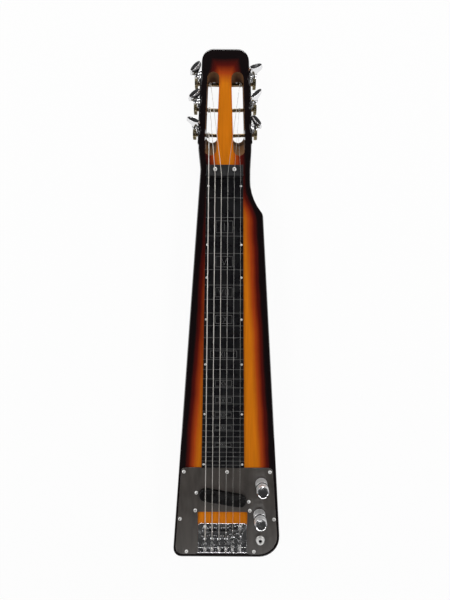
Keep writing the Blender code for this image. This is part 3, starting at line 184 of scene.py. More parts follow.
floor_mesh = bpy.data.meshes.new("floor")
floor_bm = bmesh.new()
bmesh.ops.create_grid(floor_bm, x_segments=1, y_segments=1, size=FLOOR_REACH)
floor_bm.to_mesh(floor_mesh)
floor_bm.free()
floor = bpy.data.objects.new("floor", floor_mesh)
bpy.context.scene.collection.objects.link(floor)
floor.location = (MIDDLE.x, MIDDLE.y, FLOOR_LEVEL)
floor_finish, floor_shader = new_finish("floor_white", (0.8, 0.8, 0.8), 0.9)
floor_tree = floor_finish.node_tree
floor_glow = floor_tree.nodes.new("ShaderNodeEmission")
floor_ray = floor_tree.nodes.new("ShaderNodeLightPath")
floor_seen = floor_ray.outputs["Is Camera Ray"]
for kind in ("Is Glossy Ray", "Is Transmission Ray"):
    floor_seen = calc(floor_tree, "MAXIMUM", floor_seen, floor_ray.outputs[kind])
floor_mix = floor_tree.nodes.new("ShaderNodeMixShader")
floor_tree.links.new(calc(floor_tree, "MULTIPLY", floor_seen, FLOOR_SHARE), floor_mix.inputs["Fac"])
floor_tree.links.new(floor_shader.outputs[0], floor_mix.inputs[1])
floor_tree.links.new(floor_glow.outputs[0], floor_mix.inputs[2])
floor_tree.links.new(floor_mix.outputs[0], floor_tree.nodes["Material Output"].inputs["Surface"])
floor_mesh.materials.append(floor_finish)

# The plank: one piece of wood, sprayed from amber in the middle to black at its edges, then lacquered.
# Both ends fade to black over a longer way than the sides, and the walls of the head's slots stay brown.
LACQUER_BLACK = (0.006, 0.0035, 0.004)
DARK_RED = (0.09, 0.0065, 0.004)
ORANGE_RED = (0.37, 0.05, 0.007)
AMBER = (0.62, 0.175, 0.006)
SLOT_BROWN = (0.17, 0.085, 0.04)
BURST_STOPS = [
    (0.0, LACQUER_BLACK),
    (0.29, LACQUER_BLACK),
    (0.48, DARK_RED),
    (0.7, ORANGE_RED),
    (0.95, AMBER),
]
BURST_WIDTH = 0.034
CLOUD_SCALE = 16
CLOUD_REACH = 0.006
TAIL_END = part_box("body")[0].y
HEAD_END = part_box("body")[1].y
TAIL_FADE = 0.55
HEAD_FADE = 0.6
# Each edge is a straight line along the guitar: its place where y is 0, and its slope.
BASS_LINE = (-0.07956, 0.07053)
TREBLE_LINE = (0.09413, -0.064)
HEAD_LINE = (0.06419, -0.0367)
BASS_SHOULDER = (0.575, 0.62)
TREBLE_SHOULDER = (0.505, 0.56)
HEAD_NARROWING = (0.7, 0.755)
NARROWED_SHARE = 0.42
SLOT_REACH = 0.0305
SLOTS_START = 0.6
SLOTS_END = 0.75
SLOT_COAT_LOSS = 0.95
GRAIN_SCALE = 9
GRAIN_STRETCH = (38, 1.6, 38)
GRAIN_CONTRAST = 0.5
GRAIN_BASE = 0.72
# Painted shade: the share of its colour that a face turned fully sideways keeps.
SIDE_PAINTED_SHADE = 0.32
# How level a face is, from 0 for a wall to 1 for the top, where each change begins and ends.
SIDE_TO_TOP = (0.35, 0.8)
WALL_TO_TOP = (0.9, 0.99)


def smooth_step(tree, value, low, high):
    """0 below low, 1 above high, and a soft rise between them."""
    node = tree.nodes.new("ShaderNodeMapRange")
    node.interpolation_type = "SMOOTHSTEP"
    tree.links.new(value, node.inputs["Value"])
    node.inputs["From Min"].default_value = low
    node.inputs["From Max"].default_value = high
    return node.outputs["Result"]


def between(tree, first, second, share):
    """The value a share of the way from the first to the second."""
    return calc(tree, "MULTIPLY_ADD", calc(tree, "SUBTRACT", second, first), share, first)


def line_along(tree, along, at_zero, slope):
    """A value that changes along the guitar at a steady rate."""
    return calc(tree, "MULTIPLY_ADD", along, slope, at_zero)


def noise(tree, scale, stretch=(1, 1, 1), detail=3):
    """Noise on the piece's own place in metres, drawn out by the stretch."""
    place = tree.nodes.new("ShaderNodeTexCoord")
    mapping = tree.nodes.new("ShaderNodeMapping")
    mapping.inputs["Scale"].default_value = stretch
    texture = tree.nodes.new("ShaderNodeTexNoise")
    texture.inputs["Scale"].default_value = scale
    texture.inputs["Detail"].default_value = detail
    tree.links.new(place.outputs["Object"], mapping.inputs["Vector"])
    tree.links.new(mapping.outputs["Vector"], texture.inputs["Vector"])
    return texture.outputs["Fac"]


burst, burst_shader = new_finish("sunburst_lacquer", AMBER, 0.38)
burst_shader.inputs["Specular IOR Level"].default_value = 0.0
burst_shader.inputs["Coat Roughness"].default_value = 0.05
tree = burst.node_tree
wood_place = tree.nodes.new("ShaderNodeTexCoord")
wood_parts = tree.nodes.new("ShaderNodeSeparateXYZ")
tree.links.new(wood_place.outputs["Object"], wood_parts.inputs[0])
across = wood_parts.outputs["X"]
along = wood_parts.outputs["Y"]

# How far a place is inside the edges, which the burst's colours follow.
head_edge = line_along(tree, along, *HEAD_LINE)
bass_edge = between(
    tree,
    line_along(tree, along, *BASS_LINE),
    calc(tree, "MULTIPLY", head_edge, -1),
    smooth_step(tree, along, *BASS_SHOULDER),
)
treble_edge = between(
    tree,
    line_along(tree, along, *TREBLE_LINE),
    head_edge,
    smooth_step(tree, along, *TREBLE_SHOULDER),
)
from_bass = calc(tree, "SUBTRACT", across, bass_edge)
from_treble = calc(tree, "SUBTRACT", treble_edge, across)
inside = calc(tree, "MINIMUM", from_bass, from_treble)
narrowing = calc(tree, "MULTIPLY_ADD", smooth_step(tree, along, *HEAD_NARROWING), -NARROWED_SHARE, 1)
inside = calc(tree, "MULTIPLY", inside, narrowing)
from_head = calc(tree, "MULTIPLY", calc(tree, "SUBTRACT", HEAD_END, along), HEAD_FADE)
from_tail = calc(tree, "MULTIPLY", calc(tree, "SUBTRACT", along, TAIL_END), TAIL_FADE)
inside = calc(tree, "MINIMUM", inside, calc(tree, "MINIMUM", from_head, from_tail))
cloud = calc(tree, "MULTIPLY", calc(tree, "SUBTRACT", noise(tree, CLOUD_SCALE), 0.5), CLOUD_REACH)
burst_share = calc(tree, "DIVIDE", calc(tree, "ADD", inside, cloud), BURST_WIDTH)
burst_color = ramp(tree, burst_share, BURST_STOPS)

# The slots' walls are bare brown wood with hardly any lacquer, and the plank's sides get painted shade: the
# more a face turns sideways, the darker its colour.
# The mix node's colours are its inputs 6 and 7.
facing = tree.nodes.new("ShaderNodeNewGeometry")
facing_parts = tree.nodes.new("ShaderNodeSeparateXYZ")
tree.links.new(facing.outputs["Normal"], facing_parts.inputs[0])
levelness = calc(tree, "ABSOLUTE", facing_parts.outputs["Z"])
in_slots = calc(tree, "LESS_THAN", calc(tree, "ABSOLUTE", across), SLOT_REACH)
in_slots = calc(tree, "MULTIPLY", in_slots, calc(tree, "GREATER_THAN", along, SLOTS_START))
in_slots = calc(tree, "MULTIPLY", in_slots, calc(tree, "LESS_THAN", along, SLOTS_END))
sloping = calc(tree, "SUBTRACT", 1, smooth_step(tree, levelness, *WALL_TO_TOP))
slot_wall = calc(tree, "MULTIPLY", in_slots, sloping)
wall_mix = tree.nodes.new("ShaderNodeMix")
wall_mix.data_type = "RGBA"
wall_mix.inputs[7].default_value = (*SLOT_BROWN, 1)
tree.links.new(slot_wall, wall_mix.inputs["Factor"])
tree.links.new(burst_color, wall_mix.inputs[6])
coat = calc(tree, "MULTIPLY_ADD", slot_wall, -SLOT_COAT_LOSS, 1)
tree.links.new(coat, burst_shader.inputs["Coat Weight"])
# Painted shade on the sides: the colour darkens as a face turns from level to upright, except on the slots'
# walls.
top_share = smooth_step(tree, levelness, *SIDE_TO_TOP)
painted_side_shade = calc(tree, "MULTIPLY_ADD", top_share, 1 - SIDE_PAINTED_SHADE, SIDE_PAINTED_SHADE)
painted_side_shade = calc(tree, "MAXIMUM", painted_side_shade, slot_wall)
wood_noise = noise(tree, GRAIN_SCALE, GRAIN_STRETCH, 5)
grain = calc(tree, "MULTIPLY_ADD", wood_noise, GRAIN_CONTRAST, GRAIN_BASE)
shaded = tree.nodes.new("ShaderNodeVectorMath")
shaded.operation = "SCALE"
tree.links.new(wall_mix.outputs[2], shaded.inputs[0])
tree.links.new(calc(tree, "MULTIPLY", grain, painted_side_shade), shaded.inputs["Scale"])
tree.links.new(shaded.outputs[0], burst_shader.inputs["Base Color"])

MERGE = 0.000002  # points closer than this are one
FLAT_ANGLE = math.radians(0.5)  # faces flatter than this are joined
CORNER_ANGLE = math.radians(35)  # corners sharper than this are eased


def add_piece(name, bm, finish, body, sharp=35, smooth=True):
    """A finished piece from a bmesh, riding on a body of the frame."""
    mesh = bpy.data.meshes.new(name)
    bm.to_mesh(mesh)
    bm.free()
    if smooth:
        mesh.shade_smooth()
        mesh.set_sharp_from_angle(angle=math.radians(sharp))
    mesh.materials.append(finish)
    piece = bpy.data.objects.new(name, mesh)
    bpy.context.scene.collection.objects.link(piece)
    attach(piece, body)
    return piece


def finished(node, finish, edge=0.0, sharp=35):
    """A merged copy of a frame's node in its finish, with round faces smooth and edges eased."""
    bm = bmesh.new()
    bm.from_mesh(nodes[node].data)
    bmesh.ops.remove_doubles(bm, verts=bm.verts, dist=MERGE)
    bmesh.ops.dissolve_limit(bm, angle_limit=FLAT_ANGLE, verts=bm.verts, edges=bm.edges)
    piece = add_piece(f"{node}_finish", bm, finish, nodes[node]["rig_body"], sharp)
    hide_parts(node)
    if edge:
        bevel = piece.modifiers.new("eased_edges", "BEVEL")
        bevel.width = edge
        bevel.segments = 2
        bevel.limit_method = "ANGLE"
        bevel.angle_limit = CORNER_ANGLE
    even = piece.modifiers.new("even_shading", "WEIGHTED_NORMAL")
    even.keep_sharp = True


finished("body", burst, edge=0.0006, sharp=40)

# Handling: hands leave cloudy places on metal and plastic where the gloss is duller.
# One node group makes them, and each finish sets its own size and gloss.
CLOUDY_NOISE = (0.4, 0.7)
handling = bpy.data.node_groups.new("handling_marks", "ShaderNodeTree")


def group_socket(group, name, direction, value=None):
    """A named socket of a node group."""
    socket = group.interface.new_socket(name=name, in_out=direction, socket_type="NodeSocketFloat")
    if value is not None:
        socket.default_value = value


group_socket(handling, "Scale", "INPUT", value=40.0)
group_socket(handling, "Clean Roughness", "INPUT", value=0.1)
group_socket(handling, "Worn Roughness", "INPUT", value=0.3)
group_socket(handling, "Roughness", "OUTPUT")
group_in = handling.nodes.new("NodeGroupInput")
group_out = handling.nodes.new("NodeGroupOutput")
group_place = handling.nodes.new("ShaderNodeTexCoord")
group_noise = handling.nodes.new("ShaderNodeTexNoise")
group_noise.inputs["Detail"].default_value = 4
handling.links.new(group_place.outputs["Object"], group_noise.inputs["Vector"])
handling.links.new(group_in.outputs["Scale"], group_noise.inputs["Scale"])
group_mask = smooth_step(handling, group_noise.outputs["Fac"], *CLOUDY_NOISE)
clean_gloss = group_in.outputs["Clean Roughness"]
worn_gloss = group_in.outputs["Worn Roughness"]
group_value = between(handling, clean_gloss, worn_gloss, group_mask)
handling.links.new(group_value, group_out.inputs["Roughness"])


def add_handling(finish, shader, scale, clean, worn):
    """Lets the finish's gloss vary between clean and worn places."""
    marks = finish.node_tree.nodes.new("ShaderNodeGroup")
    marks.node_tree = handling
    marks.inputs["Scale"].default_value = scale
    marks.inputs["Clean Roughness"].default_value = clean
    marks.inputs["Worn Roughness"].default_value = worn
    finish.node_tree.links.new(marks.outputs["Roughness"], shader.inputs["Roughness"])


def add_bump(finish, shader, height, distance, strength=1.0):
    """Feeds a height into the shader's normal."""
    bump = finish.node_tree.nodes.new("ShaderNodeBump")
    bump.inputs["Distance"].default_value = distance
    bump.inputs["Strength"].default_value = strength
    finish.node_tree.links.new(height, bump.inputs["Height"])
    finish.node_tree.links.new(bump.outputs["Normal"], shader.inputs["Normal"])


# The fretboard: a flat black plate, printed with a white line for each fret and boxed Roman numerals,
# and held by fourteen small screws along its edges.
SCALE_LENGTH = 0.5715
OCTAVE = 12
BOARD_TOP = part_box("fretboard")[1].z
BOARD_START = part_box("fretboard")[0].y
BOARD_NUT_HALF = 0.0285
BOARD_END_HALF = 0.0345
PRINT_HEIGHT = 0.00006
FRET_COUNT = 28
LINE_WIDTH = 0.00045
LINE_MARGIN = 0.0004
BOXES = {
    3: "III",
    5: "V",
    7: "VII",
    9: "IX",
    12: "XII",
    15: "XV",
    17: "XVII",
    19: "XIX",
    21: "XXI",
    24: "XXIV",
}
BOX_WIDTH = 0.026
OCTAVE_BOX_WIDTH = 0.042
BOX_SHARE = 0.32  # half a box's height, as a share of its fret's space
STROKE_WIDTH = 0.0004
# A numeral's height as a share of half its box, then its letters' widths and gap as shares of that height.
NUMERAL_SHARE = 1.3
NARROW_LETTER = 0.3
WIDE_LETTER = 0.75
LETTER_GAP = 0.22

board_finish, board_shader = new_finish("fretboard_black", (0.006, 0.006, 0.007), 0.32)
board_shader.inputs["Specular IOR Level"].default_value = 0.25
add_handling(board_finish, board_shader, 55, 0.26, 0.42)
add_bump(board_finish, board_shader, noise(board_finish.node_tree, 900, (1, 0.15, 1)), 0.00002, 0.4)
finished("fretboard", board_finish)
print_finish, print_shader = new_finish("print_white", (0.16, 0.16, 0.155), 0.5)
add_handling(print_finish, print_shader, 80, 0.4, 0.6)


def fret_y(number):
    """A fret's place along the strings, in equal temperament."""
    return SCALE_LENGTH * 2 ** (-number / OCTAVE)


def board_half(y):
    """Half the fretboard's width."""
    share = (SCALE_LENGTH - y) / (SCALE_LENGTH - BOARD_START)
    return BOARD_NUT_HALF + share * (BOARD_END_HALF - BOARD_NUT_HALF)


def stroke(bm, start, end, width):
    """A line from start to end, printed on the fretboard."""
    start, end = Vector(start), Vector(end)
    line = end - start
    turn = Matrix.Rotation(math.atan2(line.y, line.x), 4, "Z")
    size = Matrix.Diagonal((line.length + width, width, PRINT_HEIGHT, 1))
    middle = (start + end) / 2
    where = Matrix.Translation((middle.x, middle.y, BOARD_TOP + PRINT_HEIGHT / 2))
    bmesh.ops.create_cube(bm, size=1, matrix=where @ turn @ size)


def numeral(bm, text, centre, height):
    """Roman numerals drawn with straight strokes, centred on a point."""
    widths = {"I": NARROW_LETTER * height, "V": WIDE_LETTER * height, "X": WIDE_LETTER * height}
    gap = LETTER_GAP * height
    left = centre[0] - (sum(widths[letter] for letter in text) + gap * (len(text) - 1)) / 2
    low, high = centre[1] - height / 2, centre[1] + height / 2
    for letter in text:
        right = left + widths[letter]
        middle = (left + right) / 2
        if letter == "I":
            stroke(bm, (middle, low), (middle, high), STROKE_WIDTH)
        elif letter == "V":
            stroke(bm, (left, high), (middle, low), STROKE_WIDTH)
            stroke(bm, (middle, low), (right, high), STROKE_WIDTH)
        else:
            stroke(bm, (left, high), (right, low), STROKE_WIDTH)
            stroke(bm, (left, low), (right, high), STROKE_WIDTH)
        left = right + gap


line_bm = bmesh.new()
for number in range(1, FRET_COUNT + 1):
    reach = board_half(fret_y(number)) - LINE_MARGIN
    stroke(line_bm, (-reach, fret_y(number)), (reach, fret_y(number)), LINE_WIDTH)
add_piece("fret_lines", line_bm, print_finish, "guitar", smooth=False)

numeral_bm = bmesh.new()
for number, text in BOXES.items():
    space = fret_y(number - 1) - fret_y(number)
    centre = (0, (fret_y(number - 1) + fret_y(number)) / 2)
    half_width = (OCTAVE_BOX_WIDTH if number == OCTAVE else BOX_WIDTH) / 2
    half_height = space * BOX_SHARE
    low, high = centre[1] - half_height, centre[1] + half_height
    for row in (low, high):
        stroke(numeral_bm, (-half_width, row), (half_width, row), STROKE_WIDTH)
    for side in (-half_width, half_width):
        stroke(numeral_bm, (side, low), (side, high), STROKE_WIDTH)
    numeral(numeral_bm, text, centre, half_height * NUMERAL_SHARE)
add_piece("fret_numerals", numeral_bm, print_finish, "guitar", smooth=False)

# Screws: zinc-plated steel pan heads, pressed with a cross recess, wherever a plate is fixed down. The
# recess is not hollowed out: a dark cross set into the head is painted shade that stands for it.
# The fretboard's stand in pairs along its edges, and the control plate's at its corners and sides.
chrome, chrome_shader = new_finish("chrome_plate", (0.78, 0.78, 0.79), 0.08, 1.0)
add_handling(chrome, chrome_shader, 120, 0.05, 0.2)
zinc, zinc_shader = new_finish("bright_zinc", (0.85, 0.84, 0.82), 0.34, 0.5)
add_handling(zinc, zinc_shader, 150, 0.3, 0.42)
# Painted shade: the recess is drawn as a dark solid cross, standing in for the shade in its hollow.
recess_painted_shade, recess_painted_shade_shader = new_finish("painted_recess_shade", (0.02, 0.02, 0.02), 0.5, 0.6)
add_handling(recess_painted_shade, recess_painted_shade_shader, 200, 0.4, 0.6)
SCREW_STEPS = 16
# A screw's size is its head's radius and height. The head's corners are shares of the two.
PAN_HEAD = ((1, 0), (1, 0.35), (0.86, 0.7), (0.55, 0.93))
RECESS_LENGTH = 0.85
RECESS_WIDTH = 0.2
RECESS_DEPTH = 0.3
RECESS_LEVEL = 0.88
BOARD_SCREW = (0.0017, 0.0007)
BOARD_SCREW_ROWS = (0.5575, 0.467, 0.4158, 0.3497, 0.2778, 0.1972, 0.1145)
BOARD_SCREW_INSET = 0.0034
PLATE_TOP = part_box("control_plate")[1].z
PLATE_SCREW = (0.0029, 0.0012)
PLATE_SCREW_PLACES = (
    (-0.0631, 0.1019),
    (0.0069, 0.1019),
    (0.0764, 0.1019),
    (-0.0695, 0.0228),
    (0.084, 0.0228),
    (-0.0588, -0.0323),
    (0.0518, -0.032),
    (-0.0445, 0.0373),
    (0.0445, 0.0373),
)


def turned(profile, steps, ring=False):
    """A turned solid about Z from (radius, height) points, with its faces outward."""
    bm = bmesh.new()
    points = [bm.verts.new((radius, 0, height)) for radius, height in profile]
    lines = [bm.edges.new(pair) for pair in zip(points, points[1:])]
    if ring:
        lines.append(bm.edges.new((points[-1], points[0])))
    bmesh.ops.spin(
        bm, geom=points + lines, cent=(0, 0, 0), axis=(0, 0, 1), angle=math.tau, steps=steps, use_merge=True
    )
    bmesh.ops.remove_doubles(bm, verts=bm.verts, dist=MERGE)
    bmesh.ops.recalc_face_normals(bm, faces=bm.faces)
    return bm


def put(target, shape, matrix):
    """Adds a shape to the target at that place."""
    mesh = bpy.data.meshes.new("shape")
    shape.to_mesh(mesh)
    shape.free()
    mesh.transform(matrix)
    target.from_mesh(mesh)
    bpy.data.meshes.remove(mesh)


def screw_shapes(radius, height):
    """A pan head and a dark cross of painted shade that stands for its recess, seated on z 0."""
    corners = [(radius * out, height * up) for out, up in PAN_HEAD]
    head = turned([(0, 0), *corners, (0, height)], SCREW_STEPS)
    painted_shade_cross = bmesh.new()
    size = Matrix.Diagonal((radius * RECESS_LENGTH, radius * RECESS_WIDTH, height * RECESS_DEPTH, 1))
    where = Matrix.Translation((0, 0, height * RECESS_LEVEL))
    for turn in (math.pi / 4, -math.pi / 4):
        bmesh.ops.create_cube(painted_shade_cross, size=1, matrix=where @ Matrix.Rotation(turn, 4, "Z") @ size)
    return head, painted_shade_cross


def add_screws(name, places, radius, height):
    """A set of alike screws, one at each place matrix."""
    heads, painted_shade_crosses = bmesh.new(), bmesh.new()
    for matrix in places:
        head, painted_shade_cross = screw_shapes(radius, height)
        put(heads, head, matrix)
        put(painted_shade_crosses, painted_shade_cross, matrix)
    add_piece(f"{name}_screws", heads, zinc, "guitar", sharp=50)
    # The recesses' dark crosses are painted shade.
    add_piece(f"{name}_recess_painted_shades", painted_shade_crosses, recess_painted_shade, "guitar", smooth=False)


def upright(places, level):
    """Place matrices for screws that stand on a level face."""
    return [Matrix.Translation((x, y, level)) for x, y in places]


board_places = []
for row in BOARD_SCREW_ROWS:
    for side in (-1, 1):
        board_places.append((side * (board_half(row) - BOARD_SCREW_INSET), row))
add_screws("fretboard", upright(board_places, BOARD_TOP), *BOARD_SCREW)
add_screws("control_plate", upright(PLATE_SCREW_PLACES, PLATE_TOP), *PLATE_SCREW)

# The nut: a bent steel angle, painted satin black, with a notch for each string. Two larger screws
# hold its flange to the wood.
NUT_FLANGE = 0.0408
NUT_SCREW = (0.0031, 0.0016)
NUT_SCREW_PLACES = ((-0.0148, 0.5827), (0.0148, 0.5827))
nut_finish, nut_shader = new_finish("nut_black", (0.012, 0.012, 0.013), 0.4)
add_handling(nut_finish, nut_shader, 150, 0.35, 0.55)
finished("nut", nut_finish, edge=0.0002)
add_screws("nut", upright(NUT_SCREW_PLACES, NUT_FLANGE), *NUT_SCREW)

# The control plate: thin sheet with a dark mirror finish, cut out for the pickup, the controls and the
# bridge, and clouded by handling. It lies on the wood under its screws.
PLATE_STOPS = [(0.35, (0.044, 0.038, 0.034)), (0.62, (0.062, 0.054, 0.048))]
plate_finish, plate_shader = new_finish("plate_dark", (0.046, 0.041, 0.036), 0.3)
plate_shader.inputs["Coat Weight"].default_value = 0.4
plate_shader.inputs["Coat Roughness"].default_value = 0.12
add_handling(plate_finish, plate_shader, 70, 0.28, 0.36)
plate_tree = plate_finish.node_tree
streaks = noise(plate_tree, 22, (6, 1, 1), 4)
plate_tree.links.new(ramp(plate_tree, streaks, PLATE_STOPS), plate_shader.inputs["Base Color"])
finished("control_plate", plate_finish, edge=0.00025)

# The pickup: a blank cover, moulded in black plastic, over a wound coil. It hangs from the plate on
# two height screws.
PICKUP_SCREW = (0.0028, 0.0015)
PICKUP_SCREW_PLACES = ((-0.0428, 0.0671), (0.0425, 0.0525))
pickup_finish, pickup_shader = new_finish("pickup_black", (0.005, 0.0045, 0.0045), 0.3)
pickup_shader.inputs["Specular IOR Level"].default_value = 0.25
add_handling(pickup_finish, pickup_shader, 70, 0.22, 0.4)
finished("pickup_cover", pickup_finish, sharp=50)
coil_finish, coil_shader = new_finish("coil_black", (0.02, 0.018, 0.017), 0.6)
add_bump(coil_finish, coil_shader, noise(coil_finish.node_tree, 600, (1, 1, 8)), 0.00005)
finished("pickup_coil", coil_finish)
add_screws("pickup", upright(PICKUP_SCREW_PLACES, PLATE_TOP), *PICKUP_SCREW)

# The knobs: turned and chromed, with two knurled bands, a black ring between them and a bright dished top.
# Each rides on its control's shaft, over a pot that hangs under the plate.
KNOB_STEPS = 88
SHAFT_GAP = 0.0003
SHAFT_HOLE = 0.0034
POT_GAP = 0.0006
SKIRT_HOLE = 0.0066
# Corners of the knob, as steps outward from its radius and upward from its foot, groove or top.
KNOB_FOOT = ((-0.0004, 0), (0, 0.0004), (0, 0.0011), (0, 0.0014))
KNOB_GROOVE = ((0, -0.0011), (0, -0.0008), (0, -0.0003), (-0.0003, 0), (-0.0013, 0))
KNOB_TOP = (
    (0, -0.0022),
    (0, -0.0019),
    (-0.0002, -0.0009),
    (-0.0008, -0.0001),
    (-0.0014, 0),
    (-0.002, -0.0004),
)
DISH_SHARE = 0.4
DISH_SIDE = 0.0008
DISH_MIDDLE = 0.0009
BRIGHT_TOP = 0.0012
FACES_UP = 0.5
KNURL_DEPTH = 0.028
KNURL_EDGE = 0.97
KNURL_FROM_FOOT = 0.0012
KNURL_FROM_GROOVE = 0.001
KNURL_FROM_TOP = 0.0021
GROOVE_HALF = 0.0013
RING_STEPS = 64
RING_INSET = 0.0004
RING_THICKNESS = 0.00085
RING_SIDES = 12
knob_satin, knob_shader = new_finish("knob_satin", (0.88, 0.88, 0.88), 0.36, 0.65)
add_handling(knob_satin, knob_shader, 150, 0.3, 0.42)
rubber, rubber_shader = new_finish("ring_rubber", (0.008, 0.008, 0.008), 0.55)
add_handling(rubber, rubber_shader, 200, 0.5, 0.7)
brass, brass_shader = new_finish("aged_brass", (0.36, 0.31, 0.2), 0.36, 1.0)
add_handling(brass, brass_shader, 260, 0.25, 0.5)
steel, steel_shader = new_finish("bright_steel", (0.62, 0.61, 0.6), 0.26, 1.0)
add_handling(steel, steel_shader, 180, 0.18, 0.36)


def knurl(bm, low, high, radius):
    """Draws every other point of a band inwards."""
    for vert in bm.verts:
        if low < vert.co.z < high and vert.co.xy.length > radius * KNURL_EDGE:
            step = round(math.atan2(vert.co.y, vert.co.x) / math.tau * KNOB_STEPS)
            if step % 2:
                vert.co.x *= 1 - KNURL_DEPTH
                vert.co.y *= 1 - KNURL_DEPTH


def knob_shape(radius, bottom, top, ring_level, shaft_top, pot_top):
    """A knob with its blind hole, its groove and its knurled bands."""
    groove_low, groove_high = ring_level - GROOVE_HALF, ring_level + GROOVE_HALF
    profile = [
        (0, shaft_top + SHAFT_GAP),
        (SHAFT_HOLE, shaft_top + SHAFT_GAP),
        (SHAFT_HOLE, pot_top + POT_GAP),
        (SKIRT_HOLE, pot_top + POT_GAP),
        (SKIRT_HOLE, bottom),
    ]
    profile += [(radius + out, bottom + up) for out, up in KNOB_FOOT]
    profile += [(radius + out, groove_low + up) for out, up in KNOB_GROOVE]
    profile += [(radius + out, groove_high - up) for out, up in reversed(KNOB_GROOVE)]
    profile += [(radius + out, top + up) for out, up in KNOB_TOP]
    profile += [(radius * DISH_SHARE, top - DISH_SIDE), (0, top - DISH_MIDDLE)]
    bm = turned(profile, KNOB_STEPS)
    knurl(bm, bottom + KNURL_FROM_FOOT, groove_low - KNURL_FROM_GROOVE, radius)
    knurl(bm, groove_high + KNURL_FROM_GROOVE, top - KNURL_FROM_TOP, radius)
    return bm


def ring_shape(radius, level):
    """A round rubber ring in the knob's groove."""
    section = []
    for step in range(RING_SIDES):
        angle = math.tau * step / RING_SIDES
        out = radius - RING_INSET + RING_THICKNESS * math.cos(angle)
        section.append((out, level + RING_THICKNESS * math.sin(angle)))
    return turned(section, RING_STEPS, ring=True)


for label in ("volume", "tone"):
    low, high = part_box(f"{label}_knob")
    centre = (low + high) / 2
    radius = (high.x - low.x) / 2
    ring_low, ring_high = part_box(f"{label}_knob_ring")
    ring_level = (ring_low.z + ring_high.z) / 2
    shaft_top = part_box(f"{label}_shaft")[1].z
    pot_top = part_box(f"{label}_pot")[1].z
    knob_bm = knob_shape(radius, low.z, high.z, ring_level, shaft_top, pot_top)
    bmesh.ops.translate(knob_bm, verts=knob_bm.verts, vec=(centre.x, centre.y, 0))
    knob = add_piece(f"{label}_knob_finish", knob_bm, knob_satin, f"{label}_control", sharp=22)
    knob.data.materials.append(chrome)
    for face in knob.data.polygons:
        if face.normal.z > FACES_UP and face.center.z > high.z - BRIGHT_TOP:
            face.material_index = 1
    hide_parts(f"{label}_knob")
    ring_bm = ring_shape(radius, ring_level)
    bmesh.ops.translate(ring_bm, verts=ring_bm.verts, vec=(centre.x, centre.y, 0))
    ring_name = f"{label}_knob_ring"
    ring = add_piece(f"{ring_name}_finish", ring_bm, rubber, f"{label}_control", sharp=60)
    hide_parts(ring_name)
    finished(f"{label}_shaft", brass)
    finished(f"{label}_pot", steel)

# The output jack: a plated steel barrel, held in the plate by a washer and a nut. A dark liner shows
# where the plug goes in.
LINER_INNER = 0.00285
LINER_OUTER = 0.0031
LINER_LENGTH = 0.024
LINER_DEPTH = 0.0255
LINER_STEPS = 32
LINER = [
    (LINER_INNER, 0),
    (LINER_OUTER, 0),
    (LINER_OUTER, LINER_LENGTH),
    (LINER_INNER, LINER_LENGTH),
]
finished("output_jack", zinc, edge=0.00015, sharp=50)
jack_low, jack_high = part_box("output_jack")
jack_middle = (jack_low + jack_high) / 2
liner_finish, liner_shader = new_finish("jack_liner", (0.006, 0.006, 0.006), 0.5)
add_handling(liner_finish, liner_shader, 200, 0.45, 0.65)
liner_bm = turned(LINER, LINER_STEPS, ring=True)
liner_place = (jack_middle.x, jack_middle.y, jack_high.z - LINER_DEPTH)
bmesh.ops.translate(liner_bm, verts=liner_bm.verts, vec=liner_place)
add_piece("jack_liner", liner_bm, liner_finish, "guitar")

# The bridge: a bent chromed plate with two screws and a lip, and six chromed saddles that slide on it.
# A steel screw through the lip holds each saddle, with a coil spring round it.
STRING_COUNT = 6
BRIDGE_TOP = 0.0398
BRIDGE_SCREW = (0.0024, 0.0007)
BRIDGE_SCREW_PLACES = ((-0.0285, 0.0097), (0.0285, 0.0097))
SPRING_WIRE = 0.00035
SPRING_CURLS = 4
SPRING_STEPS = 24
finished("bridge_plate", chrome, edge=0.0003)
add_screws("bridge", upright(BRIDGE_SCREW_PLACES, BRIDGE_TOP), *BRIDGE_SCREW)


def wire(points, radius):
    """A round wire through the points, with closed ends."""
    curve = bpy.data.curves.new("wire", "CURVE")
    curve.dimensions = "3D"
    curve.bevel_depth = radius
    curve.bevel_resolution = 2
    curve.use_fill_caps = True
    spline = curve.splines.new("POLY")
    spline.points.add(len(points) - 1)
    for knot, point in zip(spline.points, points):
        knot.co = (*point, 1)
    holder = bpy.data.objects.new("wire", curve)
    mesh = bpy.data.meshes.new_from_object(holder)
    bm = bmesh.new()
    bm.from_mesh(mesh)
    bpy.data.objects.remove(holder)
    bpy.data.curves.remove(curve)
    bpy.data.meshes.remove(mesh)
    bmesh.ops.remove_doubles(bm, verts=bm.verts, dist=MERGE)
    bmesh.ops.recalc_face_normals(bm, faces=bm.faces)
    return bm


def spring_shape(low, high):
    """A coil spring along Y that fills a box."""
    middle = (low + high) / 2
    curl_radius = (high.z - low.z) / 2 - SPRING_WIRE
    coil = []
    for step in range(SPRING_CURLS * SPRING_STEPS + 1):
        angle = math.tau * step / SPRING_STEPS
        share = step / (SPRING_CURLS * SPRING_STEPS)
        x = middle.x + curl_radius * math.cos(angle)
        y = low.y + SPRING_WIRE + share * (high.y - low.y - 2 * SPRING_WIRE)
        z = middle.z + curl_radius * math.sin(angle)
        coil.append((x, y, z))
    return wire(coil, SPRING_WIRE)


for number in range(1, STRING_COUNT + 1):
    finished(f"saddle_{number}", chrome, edge=0.0002)
    finished(f"intonation_screw_{number}", steel)
    spring_name = f"intonation_spring_{number}"
    low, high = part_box(spring_name)
    spring = add_piece(f"{spring_name}_finish", spring_shape(low, high), steel, "guitar", sharp=80)
    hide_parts(spring_name)
    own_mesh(spring)

